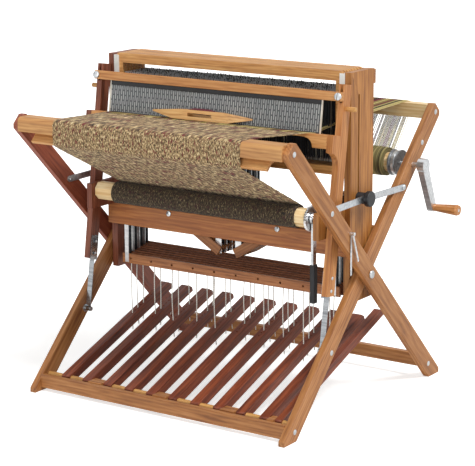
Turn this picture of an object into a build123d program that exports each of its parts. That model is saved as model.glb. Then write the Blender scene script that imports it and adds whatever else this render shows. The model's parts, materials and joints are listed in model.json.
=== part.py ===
from build123d import *
import math
import os

# Folding floor loom with an X frame, eight shafts and ten treadles.
# Frame: X to the weaver's right, Y from the weaver to the back, Z up.
# The pieces are drawn about the middle plane between the legs, over the crossing bolts' shadow,
# and written with the origin on the floor under the middle of the whole outline, crank included.

# Running clearances, and how far a cutter runs past the face it cuts
FIT = 0.05
SKIM = 0.3
CUT = 1.0

# Layers across the width, from the castle outward
CASTLE_HALF = 494.0
CASTLE_BOARD = 24.0
CASTLE_GAP = 5.0
LEG_THICK = 22.5
LEG_GAP = 2.0
BACK_IN = CASTLE_HALF + CASTLE_GAP
BACK_OUT = BACK_IN + LEG_THICK
BREAST_IN = BACK_OUT + LEG_GAP
BREAST_OUT = BREAST_IN + LEG_THICK
CASTLE_IN = CASTLE_HALF - CASTLE_BOARD

# Crossed legs
PIVOT_Z = 462.0
PIVOT_R = 8.0
PIVOT_HEAD_R = 13.0
PIVOT_HEAD = 6.0
PIVOT_NUT = 7.0
PIVOT_COLLAR_R = 15.0
LEG_SLOPE = 45.0
LEG_WIDTH = 63.5
LEG_REACH = 694.0
LEG_CHAMFER = 11.0
FOOT_REACH = 490.0
TOP_BOLT = 667.5
SECOND_BOLT = 540.0
STRUT_BOLT = 350.7
BREAST_FOOT_BOLT = 581.0
BACK_TOP_BOLT = 671.5
BACK_FOOT_BOLT = 605.0
BOLT_HEAD_R = 9.0
BOLT_HEAD = 3.5

# Floor rails
RAIL_THICK = 22.0
RAIL_LOW = 12.0
RAIL_TALL = 46.0
FRONT_RAIL_Y = -458.0
REAR_RAIL_Y = 388.0
REAR_RAIL_LOW = 42.0

# Breast beam, cloth slat and back beam
BEAM_DEPTH = 56.0
BEAM_TALL = 49.0
BEAM_LOW = 914.0
BEAM_ROUND = 17.0
BEAM_FAR = 508.0
BEAM_SKIN = 0.2
SLAT_WIDE = 40.0
SLAT_THICK = 12.0
SLAT_END = 55.5
SLAT_HALF = BREAST_IN - SLAT_END
SLAT_BLOCK = 30.0
SLAT_BACK = 20.0
SLAT_EASE = 4.0
SLAT_BLOCK_FRONT = 8.0

# Castle
CASTLE_FRONT = -50.0
CASTLE_REAR = 94.0
CASTLE_LOW = 363.0
CASTLE_TOP = 1130.0
TOP_RAIL_DEPTH = 14.0
TOP_RAIL_LOW = 1079.0
TOP_RAIL_TALL = 48.0
BOARD_THICK = 22.0
BOARD_LOW = 526.0
BOARD_TALL = 75.0
BACK_BOARD_THICK = 18.0

# Folding knobs and struts
KNOB_Z = 714.0
KNOB_TRAVEL = 277.5
KNOB_R = 26.0
KNOB_THICK = 19.0
KNOB_BUSH_R = 19.0
KNOB_BOLT_R = 4.0
SLOT_SPARE = 60.0
STRUT_THICK = 3.0
STRUT_WIDE = 22.0
STRUT_PIN_R = 4.0
STRUT_PLAY = 0.1
STRUT_PIN_HEAD = 1.5
KNOB_ROUND = 4.0
KNOB_BOLT_SHORT = 2.0

# Shafts, lamms and jacks share one pitch
SHAFTS = 8
PITCH = 16.5
FIRST_Y = -41.0
SHAFT_END = 12.0
SHAFT_HALF = CASTLE_IN - SHAFT_END
SHAFT_THICK = 12.0
SHAFT_TOP = 1134.0
SHAFT_RAIL = 34.0
SHAFT_FOOT = 28.0
SHAFT_ROUND = 9.0
SHAFT_LOW = 790.0
STILE_WIDE = 24.0
LIFT_X = 41.0
LIFT_WIDE = 24.0
LIFT_THICK = 2.0
LIFT_FOOT = 8.0
HEDDLE_END = 46.0
HEDDLE_HALF = SHAFT_HALF - HEDDLE_END
HEDDLE_THICK = 1.5
GUIDE_BASE = 4.0
GUIDE_DEEP = 20.0
GUIDE_RIB = 3.5
GUIDE_LOW = 800.0
GUIDE_TOP = 1126.0
LAMM_END = 17.0
LAMM_HALF = CASTLE_IN - LAMM_END
LAMM_THICK = 10.0
LAMM_TALL = 35.0
LAMM_LOW = 380.0
LAMM_STEP = 3.2
LAMM_HOLE_R = 4.2
STRAP_END = 21.0
STRAP_X = LAMM_HALF - STRAP_END
STRAP_WIDE = 16.0
STRAP_THICK = 2.0
STRAP_FOOT = 4.0
JACK_MEET = 18.0
JACK_X = (STRAP_X + JACK_MEET) / 2
JACK_Z = 589.0
JACK_ARM = JACK_X
JACK_WIDE = 34.0
JACK_THICK = 9.0
JACK_SLOPE = 30.96
JACK_PIN_R = 5.0
JACK_HEAD_R = 9.0
JACK_HEAD = 4.0

# Treadles on their rod behind the front rail
TREADLES = 10
TREADLE_END = 90.05
TREADLE_SHIFT = -8.0
TREADLE_PITCH = 2 * (BACK_IN - TREADLE_END) / (TREADLES - 1)
TREADLE_WIDE = 34.0
TREADLE_THICK = 32.0
TREADLE_LONG = 626.0
TREADLE_NOSE = 11.0
TREADLE_TIP = 16.0
TREADLE_EASE = 5.0
TREADLE_SLOPE = 19.7
ROD_Y = -410.0
ROD_Z = 48.0
ROD_R = 6.0
SPACER_R = 11.0
SPACER_PLAY = 0.5
CLIP_LOW = 26.0
CLIP_TALL = 36.0
CLIP_BACK = -394.0
CLIP_GAPS = (2, 5, 8, 10)
PEDAL_END = 44.0
PEDAL_X = BACK_IN - PEDAL_END
PEDAL_WIDE = 24.0
PEDAL_LONG = 672.0

# Tie-up cords from the lamms down through the treadles
CORD_R = 1.75
CORD_HOLE_R = 3.5
CORD_TAIL = 45.0
CORD_SKIP = 4

# Beater, drawn upright over its foot and then leaned back
BEATER_FOOT_Y = -207.0
BEATER_FOOT_Z = 240.0
BEATER_LEAN = 8.6
ARM_PROUD = 2.0
ARM_OUT = BACK_IN + ARM_PROUD
ARM_THICK = 22.0
ARM_FRONT = -24.0
ARM_BACK = 21.0
ARM_LOW = 181.0
ARM_TOP = 866.0
ARM_SLOT_WIDE = 8.0
ARM_SLOT_DEEP = 60.0
FLARE_R = 45.0
FLARE_DROP = 12.0
RACE_FRONT = -71.0
RACE_LOW = 657.0
RACE_TOP = 702.0
RACE_APRON = 20.0
RACE_BRACKET = 84.0
BRACKET_LIP = 2.0
RACE_SHELF = 12.0
HAND_RAIL_LOW = 811.0
HAND_RAIL_TALL = 30.0
HAND_RAIL_THICK = 17.0
REED_END = 58.0
REED_HALF = ARM_OUT - ARM_THICK - REED_END
REED_POST = 10.0
REED_V = -32.5
REED_THICK = 7.0
REED_BLADE = 3.0
REED_RIM = 9.0
REED_SEAT = 5.0
SPRING_THICK = 2.5
SPRING_WIDE = 20.0
SPRING_PLATE = 3.0
PLATE_EDGE = 4.0
PLATE_SHELF = 5.5
SPRING_PLATE_TOP = 262.0
EYE_PIN_R = 5.0
EYE_R = 8.5
EYE_PLAY = 0.5
EYE_FLANGE_R = 14.0
EYE_FLANGE = 3.0
EYE_HEAD_R = 7.5
EYE_HEAD = 3.5
RAIL_BOLT_R = 12.0
RAIL_BOLT = 6.0
ARM_BOLTS = (18.0, 60.0)
ARM_BOLT_R = 6.0
ARM_BOLT = 3.0
ARM_NUT = 4.0
PEG_R = 8.0
PEG_LONG = 34.0
PEG_W = 788.0

# Shuttle lying on the race
SHUTTLE_LONG = 385.0
SHUTTLE_WIDE = 34.0
SHUTTLE_TALL = 34.0
SHUTTLE_DECK = 150.0
SHUTTLE_KEEL = 210.0
SHUTTLE_TIP_LOW = 18.0
SHUTTLE_TIP_HIGH = 23.0
SHUTTLE_SLOT = 92.0
SHUTTLE_SLOT_TALL = 11.0
SHUTTLE_X = -17.0
SHUTTLE_TURN = 5.0
SHUTTLE_GAP = 1.5
SHUTTLE_WELL = 120.0
SHUTTLE_WELL_WIDE = 22.0
SHUTTLE_FLOOR = 4.0
SHUTTLE_FULL = 1.1

# Threading hooks hung on a peg of the right breast leg
HOOK_PEG = 211.0
HOOK_PEG_UP = 19.4
HOOK_PEG_R = 6.0
HOOK_PEG_LONG = 16.0
HOOK_WIDE = 8.0
HOOK_THICK = 1.5
HOOK_LONG = 138.0
HOOK_SHORT = 104.0
HOOK_SWAY = 20.0

# Cloth beam, ratchet and lever
CLOTH_Y = -170.0
CLOTH_Z = 666.0
CLOTH_FLATS = 60.0
CLOTH_PLAY = 3.0
RATCHET_ROOM = 38.0
CLOTH_ROLL_R = 38.0
AXLE_R = 8.0
CHEEK_INSET = 18.0
CHEEK_IN = CASTLE_IN - CHEEK_INSET
CLOTH_LEFT = -CHEEK_IN + CLOTH_PLAY
CLOTH_RIGHT = CHEEK_IN - RATCHET_ROOM
CHEEK_THICK = 22.0
CHEEK_FRONT = -214.0
CHEEK_LOW = 605.0
CHEEK_TALL = 89.0
RATCHET_R = 42.0
RATCHET_ROOT = 37.0
RATCHET_TEETH = 28
RATCHET_THICK = 8.0
LEVER_THICK = 8.0
LEVER_WIDE = 20.0
LEVER_HUB_R = 19.0
LEVER_BAR = 152.0
LEVER_END = 280.0
LEVER_GAP = 3.0
GRIP_THICK = 18.0
GRIP_WIDE = 24.0
GRIP_ROUND = 5.0
GRIP_CAP = 10.0
PAWL_Y = -100.0
PAWL_Z = 683.0
PAWL_PIN_R = 4.0
PAWL_THICK = 6.0
PAWL_INSET = 1.5
PAWL_HALF = 8.0
PAWL_NOSE = 6.0
PAWL_TIP = 2.0
PAWL_GAP = 0.4

# Warp beam, brake and crank
WARP_FLATS = 64.0
WARP_END = 59.0
WARP_HALF = BACK_IN - WARP_END
WARP_DIST = 447.0
WARP_ROLL_R = 50.0
WARP_ROLL_END = 12.0
WARP_ROLL_HALF = WARP_HALF - WARP_ROLL_END
DRUM_GAP = 6.0
DRUM_IN = WARP_HALF + DRUM_GAP
DRUM_WIDE = 34.0
DRUM_R = 40.0
DRUM_FLANGE_R = 45.0
DRUM_FLANGE = 4.0
BAND_THICK = 2.0
BAND_WIDE = 10.0
BAND_TAB = 14.0
WIRE_R = 1.0
WIRE_HOLE_R = 3.0
WIRE_INSET = 22.0
WIRE_TAIL = 24.0
CRANK_GAP = 3.0
CRANK_IN = BREAST_OUT + CRANK_GAP
CRANK_THICK = 22.0
CRANK_ARM = 172.0
CRANK_TURN = 24.0
CRANK_HUB_R = 24.0
CRANK_TIP_R = 15.0
GRIP_PIN_R = 5.0
CRANK_GRIP_LONG = 94.0
CRANK_GRIP_R = 19.0
CRANK_GRIP_NECK_R = 12.0
CRANK_GRIP_END_R = 16.5
CRANK_GRIP_SWELL = 86.0
CRANK_WAIST = 20.0
CRANK_BOSS = 4.0

# Woven cloth and warp
WEB_END = 48.0
WEB_HALF = REED_HALF - WEB_END
WARP_EDGE = 11.0
WARP_WEB_HALF = REED_HALF - WARP_EDGE
REED_EDGE = 5.0
REED_WEB_HALF = REED_HALF - REED_EDGE
WEB_THICK = 2.0
WEB_BACK_Y = 118.0
WEB_BACK_Z = 950.0
WEB_TURNS = 8
WEB_EASE = 1.0
WEB_LEAVES = 25.0


crank_out = CRANK_IN + CRANK_THICK
grip_in = crank_out + SKIM
grip_out = grip_in + CRANK_GRIP_LONG
MIDDLE_X = (grip_out - BREAST_OUT - PIVOT_HEAD) / 2


def write(name, *solids):
    """Writes one named piece, or a group of like pieces, as one file about the outline's middle."""
    flat = []
    for solid in solids:
        flat.extend((Pos(-MIDDLE_X, 0, 0) * solid).solids())
    export_step(flat[0] if len(flat) == 1 else Compound(children=flat), f"parts/{name}.step")


def plate(points, x_low, x_high):
    """A flat piece with its outline in the side view, between two planes across the width."""
    face = make_face(Polyline(*points, close=True))
    return Pos(x_low, 0, 0) * extrude(Plane.YZ * face, x_high - x_low)


def board(x_low, x_high, y_low, y_high, z_low, z_high):
    """A plain rectangular board between six planes."""
    size = (x_high - x_low, y_high - y_low, z_high - z_low)
    middle = ((x_low + x_high) / 2, (y_low + y_high) / 2, (z_low + z_high) / 2)
    return Pos(*middle) * Box(*size)


def rod_x(radius, x_low, x_high, y, z):
    """A round bar across the width."""
    return Pos((x_low + x_high) / 2, y, z) * Rot(0, 90, 0) * Cylinder(radius, x_high - x_low)


def rod_y(radius, y_low, y_high, x, z):
    """A round bar from front to back."""
    return Pos(x, (y_low + y_high) / 2, z) * Rot(90, 0, 0) * Cylinder(radius, y_high - y_low)


def mirrored(solid):
    """The same piece on the weaver's left."""
    return mirror(solid, about=Plane.YZ)


def both(solid):
    """A right-hand piece and its mirror image."""
    return [solid, mirrored(solid)]


def on_leg(distance, facing):
    """A point on a leg's centre line, facing +1 for the back leg and -1 for the breast leg."""
    slope = math.radians(LEG_SLOPE)
    return facing * distance * math.cos(slope), PIVOT_Z + distance * math.sin(slope)


def leg_outline(facing):
    """Leg from its foot on the floor to its chamfered top."""
    slope = math.radians(LEG_SLOPE)
    along = (math.cos(slope), math.sin(slope))
    across = (-along[1], along[0])
    half = LEG_WIDTH / 2

    def at(distance, offset):
        y = distance * along[0] + offset * across[0]
        z = PIVOT_Z + distance * along[1] + offset * across[1]
        return y, z

    low_foot = -(PIVOT_Z - half * along[0]) / along[1]
    clip = (-FOOT_REACH + half * along[1]) / along[0]
    points = [at(low_foot, -half)]
    points += [at(LEG_REACH - LEG_CHAMFER, -half)]
    points += [at(LEG_REACH, -half + LEG_CHAMFER)]
    points += [at(LEG_REACH, half - LEG_CHAMFER)]
    points += [at(LEG_REACH - LEG_CHAMFER, half)]
    points += [at(clip, half)]
    points += [(-FOOT_REACH, 0.0)]
    return [(facing * y, z) for y, z in points]


def leg(facing, x_low, x_high, bores):
    """A right-hand leg with its cross bores, each a distance on the leg and a radius."""
    solid = plate(leg_outline(facing), x_low, x_high)
    for (y, z), radius in bores:
        solid -= rod_x(radius, x_low - CUT, x_high + CUT, y, z)
    return solid


def ribbon(points, x_low, x_high):
    """A thin web that follows a line of points in the side view."""
    edges = []
    count = len(points)
    for side in (0.5, -0.5):
        row = []
        for i in range(count):
            y0, z0 = points[max(i - 1, 0)]
            y1, z1 = points[min(i + 1, count - 1)]
            span = math.hypot(y1 - y0, z1 - z0)
            shift = side * WEB_THICK
            row.append((points[i][0] - (z1 - z0) / span * shift, points[i][1] + (y1 - y0) / span * shift))
        edges.append(row)
    return plate(edges[0] + edges[1][::-1], x_low, x_high)


def octagon(flats, x_low, x_high, y, z):
    """An eight-sided beam across the width."""
    face = RegularPolygon(flats / 2, 8, major_radius=False, rotation=22.5)
    return Pos(x_low, y, z) * extrude(Plane.YZ * face, x_high - x_low)


def lean(solid):
    """Leans a piece of the beater back about its foot."""
    return Pos(0, BEATER_FOOT_Y, BEATER_FOOT_Z) * Rot(-BEATER_LEAN, 0, 0) * solid


os.makedirs("parts", exist_ok=True)

WARP_Y, WARP_Z = on_leg(WARP_DIST, 1)
PIVOT = (0.0, PIVOT_Z)

# Legs: the breast legs lie outside, the back legs inside them
breast_leg = leg(-1, BREAST_IN, BREAST_OUT, [(PIVOT, PIVOT_R + FIT)])
warp_bore = ((WARP_Y, WARP_Z), AXLE_R + FIT)
back_leg = leg(1, BACK_IN, BACK_OUT, [(PIVOT, PIVOT_R + FIT), warp_bore])
write("breast_leg_right", breast_leg)
write("breast_leg_left", mirrored(breast_leg))
write("back_leg_right", back_leg)
write("back_leg_left", mirrored(back_leg))

# Floor rails
front_rail_back = FRONT_RAIL_Y + RAIL_THICK
front_rail = board(-BACK_IN, BACK_IN, FRONT_RAIL_Y, front_rail_back, RAIL_LOW, RAIL_LOW + RAIL_TALL)
write("front_floor_rail", front_rail)
rear_rail_top = REAR_RAIL_LOW + RAIL_TALL
rear_rail_back = REAR_RAIL_Y + RAIL_THICK
rear_rail = board(-BREAST_IN, BREAST_IN, REAR_RAIL_Y, rear_rail_back, REAR_RAIL_LOW, rear_rail_top)
write("rear_floor_rail", rear_rail)

# Breast beam and back beam, rounded where the web runs over them
BEAM_TOP = BEAM_LOW + BEAM_TALL


def web_beam(half_length, facing):
    low = -BEAM_FAR
    block = board(-half_length, half_length, low, low + BEAM_DEPTH, BEAM_LOW, BEAM_TOP)
    edge = block.edges().filter_by(Axis.X).sort_by(lambda e: e.center().Z - e.center().Y)[-1]
    block = fillet(edge, BEAM_ROUND)
    return block if facing < 0 else mirror(block, about=Plane.XZ)


write("breast_beam", web_beam(BREAST_IN, -1))
write("back_beam", web_beam(BACK_IN, 1))

# Cloth slat: a sloped strip under the breast beam on two end blocks
slat_rise = (SLAT_WIDE + SLAT_THICK) / 2 * math.sin(math.radians(LEG_SLOPE))
SLAT_Y = -BEAM_FAR + SLAT_BACK
SLAT_Z = BEAM_LOW - slat_rise
slat_strip = Box(2 * SLAT_HALF, SLAT_WIDE, SLAT_THICK)
slat = Pos(0, SLAT_Y, SLAT_Z) * Rot(LEG_SLOPE, 0, 0) * slat_strip
block_y = SLAT_Y + BEAM_DEPTH / 2
block_front = SLAT_Y + SLAT_BLOCK_FRONT
slat_block = plate(
    [(SLAT_Y, SLAT_Z), (block_y, BEAM_LOW - SLAT_THICK), (block_y, BEAM_LOW), (block_front, BEAM_LOW)],
    SLAT_HALF - SLAT_BLOCK,
    SLAT_HALF,
)
slat = slat + slat_block + mirrored(slat_block)
write("cloth_slat", slat)

# Castle sides, each with the long slot that its folding knob slides in
castle_side = board(CASTLE_IN, CASTLE_HALF, CASTLE_FRONT, CASTLE_REAR, CASTLE_LOW, CASTLE_TOP)
castle_side -= rod_x(PIVOT_R + FIT, CASTLE_IN - CUT, CASTLE_HALF + CUT, *PIVOT)
slot_r = KNOB_BOLT_R + SKIM
slot_top = KNOB_Z + KNOB_TRAVEL + SLOT_SPARE
castle_side -= board(CASTLE_IN - CUT, CASTLE_HALF + CUT, -slot_r, slot_r, KNOB_Z, slot_top)
castle_side -= rod_x(slot_r, CASTLE_IN - CUT, CASTLE_HALF + CUT, 0, KNOB_Z)
castle_side -= rod_x(slot_r, CASTLE_IN - CUT, CASTLE_HALF + CUT, 0, slot_top)
write("castle_sides", *both(castle_side))

# Castle cross pieces
top_rail_back = CASTLE_REAR + TOP_RAIL_DEPTH
top_rail_top = TOP_RAIL_LOW + TOP_RAIL_TALL
top_rail = board(-CASTLE_HALF, CASTLE_HALF, CASTLE_REAR, top_rail_back, TOP_RAIL_LOW, top_rail_top)
board_front = CASTLE_FRONT - BOARD_THICK
board_back = CASTLE_REAR + BACK_BOARD_THICK
board_top = BOARD_LOW + BOARD_TALL
front_board = board(-CASTLE_HALF, CASTLE_HALF, board_front, CASTLE_FRONT, BOARD_LOW, board_top)
back_board = board(-CASTLE_HALF, CASTLE_HALF, CASTLE_REAR, board_back, BOARD_LOW, board_top)
for x in (-JACK_X, JACK_X):
    jack_bore = rod_y(JACK_PIN_R + FIT, board_front - CUT, board_back + CUT, x, JACK_Z)
    front_board -= jack_bore
    back_board -= jack_bore
write("front_board", front_board)
write("castle_back_rails", top_rail, back_board)

# Shaft guides: a comb on each castle side, one groove for each shaft
guide = board(CASTLE_IN - GUIDE_BASE, CASTLE_IN, CASTLE_FRONT, CASTLE_REAR, GUIDE_LOW, GUIDE_TOP)
for i in range(SHAFTS + 1):
    rib_y = FIRST_Y + (i - 0.5) * PITCH
    rib_low, rib_high = rib_y - GUIDE_RIB / 2, rib_y + GUIDE_RIB / 2
    guide += board(CASTLE_IN - GUIDE_DEEP, CASTLE_IN, rib_low, rib_high, GUIDE_LOW, GUIDE_TOP)
write("shaft_guides", *both(guide))

# Bolts held in the castle: the two crossing bolts and the two jack pins
pivot_bolt = rod_x(PIVOT_R, CASTLE_IN, BREAST_OUT + SKIM, *PIVOT)
pivot_bolt += rod_x(PIVOT_HEAD_R, BREAST_OUT + SKIM, BREAST_OUT + PIVOT_HEAD, *PIVOT)
pivot_bolt += rod_x(PIVOT_HEAD_R, CASTLE_IN - PIVOT_NUT, CASTLE_IN, *PIVOT)
pivot_bolt += rod_x(PIVOT_COLLAR_R, CASTLE_HALF, BACK_IN - SKIM, *PIVOT)
jack_pin = rod_y(JACK_PIN_R, board_front, board_back, JACK_X, JACK_Z)
jack_pin += rod_y(JACK_HEAD_R, board_front - JACK_HEAD, board_front, JACK_X, JACK_Z)
jack_pin += rod_y(JACK_HEAD_R, board_back, board_back + JACK_HEAD, JACK_X, JACK_Z)
write("castle_bolts", *both(pivot_bolt), *both(jack_pin))

# Bolt heads on the legs, with the pins that the struts turn on
breast_heads = []
for distance in (TOP_BOLT, STRUT_BOLT, -BREAST_FOOT_BOLT):
    breast_heads += both(rod_x(BOLT_HEAD_R, BREAST_OUT, BREAST_OUT + BOLT_HEAD, *on_leg(distance, -1)))
strut_y, strut_z = on_leg(STRUT_BOLT, 1)
front_pin = rod_x(STRUT_PIN_R, BREAST_IN - STRUT_THICK - STRUT_PIN_HEAD, BREAST_IN, -strut_y, strut_z)
breast_heads += both(front_pin)
write("breast_leg_bolts", *breast_heads)
REAR_STRUT_X = BREAST_IN + STRUT_PLAY
back_heads = []
for distance in (BACK_TOP_BOLT, SECOND_BOLT, -BACK_FOOT_BOLT):
    back_heads += both(rod_x(BOLT_HEAD_R, BACK_OUT, BACK_OUT + BOLT_HEAD, *on_leg(distance, 1)))
rear_pin = rod_x(STRUT_PIN_R, BACK_OUT, REAR_STRUT_X + STRUT_THICK + SKIM, strut_y, strut_z)
head_x = REAR_STRUT_X + STRUT_THICK + SKIM
rear_pin += rod_x(BOLT_HEAD_R, head_x, head_x + BOLT_HEAD, strut_y, strut_z)
foot_head = rod_x(BOLT_HEAD_R, BACK_OUT, BACK_OUT + BOLT_HEAD, BEATER_FOOT_Y, BEATER_FOOT_Z)
write("back_leg_bolts", *back_heads, *both(rear_pin), *both(foot_head))

# Folding knobs: a black bush and bolt in the castle slot, and a round hand knob outside the struts
FRONT_STRUT_X = BREAST_IN - STRUT_THICK - 2 * STRUT_PLAY
knob_bush = rod_x(KNOB_BUSH_R, CASTLE_HALF + SKIM, FRONT_STRUT_X - SKIM, 0, KNOB_Z)
knob_bush += rod_x(KNOB_BOLT_R, CASTLE_IN + KNOB_BOLT_SHORT, CASTLE_HALF + CUT, 0, KNOB_Z)
knob_x = REAR_STRUT_X + STRUT_THICK + SKIM
knob_disc = fillet(rod_x(KNOB_R, knob_x, knob_x + KNOB_THICK, 0, KNOB_Z).edges(), KNOB_ROUND)
write("fold_knobs", *both(knob_bush), *both(knob_disc))


def strut(x_low, y_pin):
    """A flat steel strut from its leg pin to the knob, with round ends."""
    half = STRUT_WIDE / 2
    x_high = x_low + STRUT_THICK
    outline = [(y_pin, strut_z - half), (0, KNOB_Z - half), (0, KNOB_Z + half), (y_pin, strut_z + half)]
    bar = plate(outline, x_low, x_high)
    for y, z in ((y_pin, strut_z), (0, KNOB_Z)):
        bar += rod_x(half, x_low, x_high, y, z)
    return bar - rod_x(STRUT_PIN_R + FIT, x_low - CUT, x_high + CUT, y_pin, strut_z)


write("front_struts", *both(strut(FRONT_STRUT_X, -strut_y)))
write("rear_struts", *both(strut(REAR_STRUT_X, strut_y)))


def shaft_y(i):
    """Middle plane of one shaft, its lamm and its jacks, counted from the front."""
    return FIRST_Y + i * PITCH


JACK_TURN = math.radians(JACK_SLOPE)
jack_end_z = JACK_Z - JACK_ARM * math.sin(JACK_TURN)


def shaft_frame(i):
    """One shaft: two rails, two stiles and the two straps that carry it on its jacks."""
    y = shaft_y(i)
    low, high = y - SHAFT_THICK / 2, y + SHAFT_THICK / 2
    frame = board(-SHAFT_HALF, SHAFT_HALF, low, high, SHAFT_LOW, SHAFT_TOP)
    frame = fillet(frame.edges().filter_by(Axis.Y).sort_by(Axis.Z)[-2:], SHAFT_ROUND)
    inner = SHAFT_HALF - STILE_WIDE
    frame -= board(-inner, inner, low - CUT, high + CUT, SHAFT_LOW + SHAFT_FOOT, SHAFT_TOP - SHAFT_RAIL)
    left, right = LIFT_X - LIFT_WIDE / 2, LIFT_X + LIFT_WIDE / 2
    strap = board(left, right, high, high + LIFT_THICK, jack_end_z - LIFT_FOOT, SHAFT_LOW + SHAFT_FOOT)
    return [frame, *both(strap)]


def heddles(i):
    """The row of heddles of one shaft, as one thin curtain between its rails."""
    half = HEDDLE_THICK / 2
    y = shaft_y(i)
    low, high = SHAFT_LOW + SHAFT_FOOT, SHAFT_TOP - SHAFT_RAIL
    return board(-HEDDLE_HALF, HEDDLE_HALF, y - half, y + half, low, high)


treadle_x = [TREADLE_SHIFT + (k - (TREADLES - 1) / 2) * TREADLE_PITCH for k in range(TREADLES)]


def lamm_low(i):
    """Underside of one lamm. The row climbs towards the back."""
    return LAMM_LOW + i * LAMM_STEP


def lamm(i):
    """One lamm with its tie-up holes and the two straps up to the jacks."""
    y = shaft_y(i)
    low, high = y - LAMM_THICK / 2, y + LAMM_THICK / 2
    under = lamm_low(i)
    bar = board(-LAMM_HALF, LAMM_HALF, low, high, under, under + LAMM_TALL)
    for x in treadle_x:
        bar -= rod_y(LAMM_HOLE_R, low - CUT, high + CUT, x, under + LAMM_TALL / 2)
    strap_top = JACK_Z + JACK_ARM * math.sin(JACK_TURN) + JACK_WIDE / 4
    strap_x = STRAP_X - STRAP_WIDE / 2
    strap = board(strap_x, strap_x + STRAP_WIDE, low - STRAP_THICK, low, under + STRAP_FOOT, strap_top)
    return [bar, *both(strap)]


def jack(i):
    """A right-hand jack: a bar on its pin, high at its strap and low at the middle."""
    y = shaft_y(i)
    bar = Box(2 * JACK_ARM, JACK_THICK, JACK_WIDE)
    bar -= rod_y(JACK_PIN_R + FIT, -JACK_THICK, JACK_THICK, 0, 0)
    return Pos(JACK_X, y, JACK_Z) * Rot(0, -JACK_SLOPE, 0) * bar


for name, first in (("odd", 0), ("even", 1)):
    rows = range(first, SHAFTS, 2)
    write(f"shafts_{name}", *[piece for i in rows for piece in shaft_frame(i)])
    write(f"heddles_{name}", *[heddles(i) for i in rows])
    write(f"lamms_{name}", *[piece for i in rows for piece in lamm(i)])
    write(f"jacks_right_{name}", *[jack(i) for i in rows])
    write(f"jacks_left_{name}", *[mirrored(jack(i)) for i in rows])


def treadle(x, width, long):
    """One treadle on the rod, with a chamfered tip at the back."""
    half = TREADLE_THICK / 2
    outline = [(-TREADLE_NOSE, -half), (long, -half), (long, 0), (long - TREADLE_TIP, half)]
    outline += [(-TREADLE_NOSE + TREADLE_EASE, half), (-TREADLE_NOSE, half - TREADLE_EASE)]
    bar = plate(outline, x - width / 2, x + width / 2)
    bar -= rod_x(ROD_R + FIT, x - width, x + width, 0, 0)
    return Pos(0, ROD_Y, ROD_Z) * Rot(TREADLE_SLOPE, 0, 0) * bar


def treadle_z(y):
    """Height of a treadle's middle line over one place on the floor."""
    return ROD_Z + (y - ROD_Y) * math.tan(math.radians(TREADLE_SLOPE))


def upright(radius, x, y, z_low, z_high):
    """A round bar that stands upright."""
    return Pos(x, y, (z_low + z_high) / 2) * Cylinder(radius, z_high - z_low)


def tied_treadle(x):
    """A treadle with one tie-up hole under each lamm."""
    bar = treadle(x, TREADLE_WIDE, TREADLE_LONG)
    for i in range(SHAFTS):
        y = shaft_y(i)
        bar -= upright(CORD_HOLE_R, x, y, treadle_z(y) - TREADLE_THICK, treadle_z(y) + TREADLE_THICK)
    return bar


def tie_cords(first):
    """The cords of one set of lamms: each treadle of the set is tied to all but one of them."""
    cords = []
    for k in range(first, TREADLES, 2):
        rows = [i for i in range(first, SHAFTS, 2) if (i + k) % SHAFTS // 2 != CORD_SKIP - 1]
        for i in rows:
            y = shaft_y(i)
            cords.append(upright(CORD_R, treadle_x[k], y, treadle_z(y) - CORD_TAIL, lamm_low(i)))
    return cords


for name, first in (("odd", 0), ("even", 1)):
    write(f"treadles_{name}", *[tied_treadle(x) for x in treadle_x[first::2]])
    write(f"tie_cords_{name}", *tie_cords(first))

# Brake pedal, longer than the treadles, with a hole for its wire
wire_along = PEDAL_LONG - WIRE_INSET
wire_y = ROD_Y + wire_along * math.cos(math.radians(TREADLE_SLOPE))
wire_z = ROD_Z + wire_along * math.sin(math.radians(TREADLE_SLOPE))
pedal = treadle(PEDAL_X, PEDAL_WIDE, PEDAL_LONG)
band_in = DRUM_IN + (DRUM_WIDE - BAND_WIDE) / 2
band_y = WARP_Y + DRUM_R + SKIM
band_middle = DRUM_R + SKIM + BAND_THICK / 2
wire_reach = math.hypot(wire_y - WARP_Y, wire_z - WARP_Z)
wire_turn = math.atan2(wire_z - WARP_Z, wire_y - WARP_Y) + math.acos(band_middle / wire_reach)
touch_y = WARP_Y + band_middle * math.cos(wire_turn)
touch_z = WARP_Z + band_middle * math.sin(wire_turn)
wire_foot = Vector(PEDAL_X, wire_y, wire_z)
wire_top = Vector(band_in + BAND_WIDE / 2, touch_y, touch_z)
wire_way = (wire_top - wire_foot).normalized()
wire_low = wire_foot - wire_way * WIRE_TAIL


def wire(radius, length):
    """A round bar along the brake wire, up from its lower end."""
    return extrude(Plane(origin=wire_low, z_dir=wire_way) * Circle(radius), length)


write("brake_pedal", pedal - wire(WIRE_HOLE_R, 2 * WIRE_TAIL))
write("treadle_rod", rod_x(ROD_R, -BACK_IN, BACK_IN, ROD_Y, ROD_Z))

# Spacers on the rod: dowels between most treadles, clip blocks on the rail in some gaps
edges = [-BACK_IN]
for x in treadle_x:
    edges += [x - TREADLE_WIDE / 2, x + TREADLE_WIDE / 2]
edges += [PEDAL_X - PEDAL_WIDE / 2, PEDAL_X + PEDAL_WIDE / 2, BACK_IN]
spacers = []
for gap in range(TREADLES + 2):
    x_low = edges[2 * gap] + SPACER_PLAY
    x_high = edges[2 * gap + 1] - SPACER_PLAY
    if gap in CLIP_GAPS:
        block = board(x_low, x_high, front_rail_back, CLIP_BACK, CLIP_LOW, CLIP_LOW + CLIP_TALL)
    else:
        block = rod_x(SPACER_R, x_low, x_high, ROD_Y, ROD_Z)
    spacers.append(block - rod_x(ROD_R + FIT, x_low - CUT, x_high + CUT, ROD_Y, ROD_Z))
write("treadle_spacers", *spacers)

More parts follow.
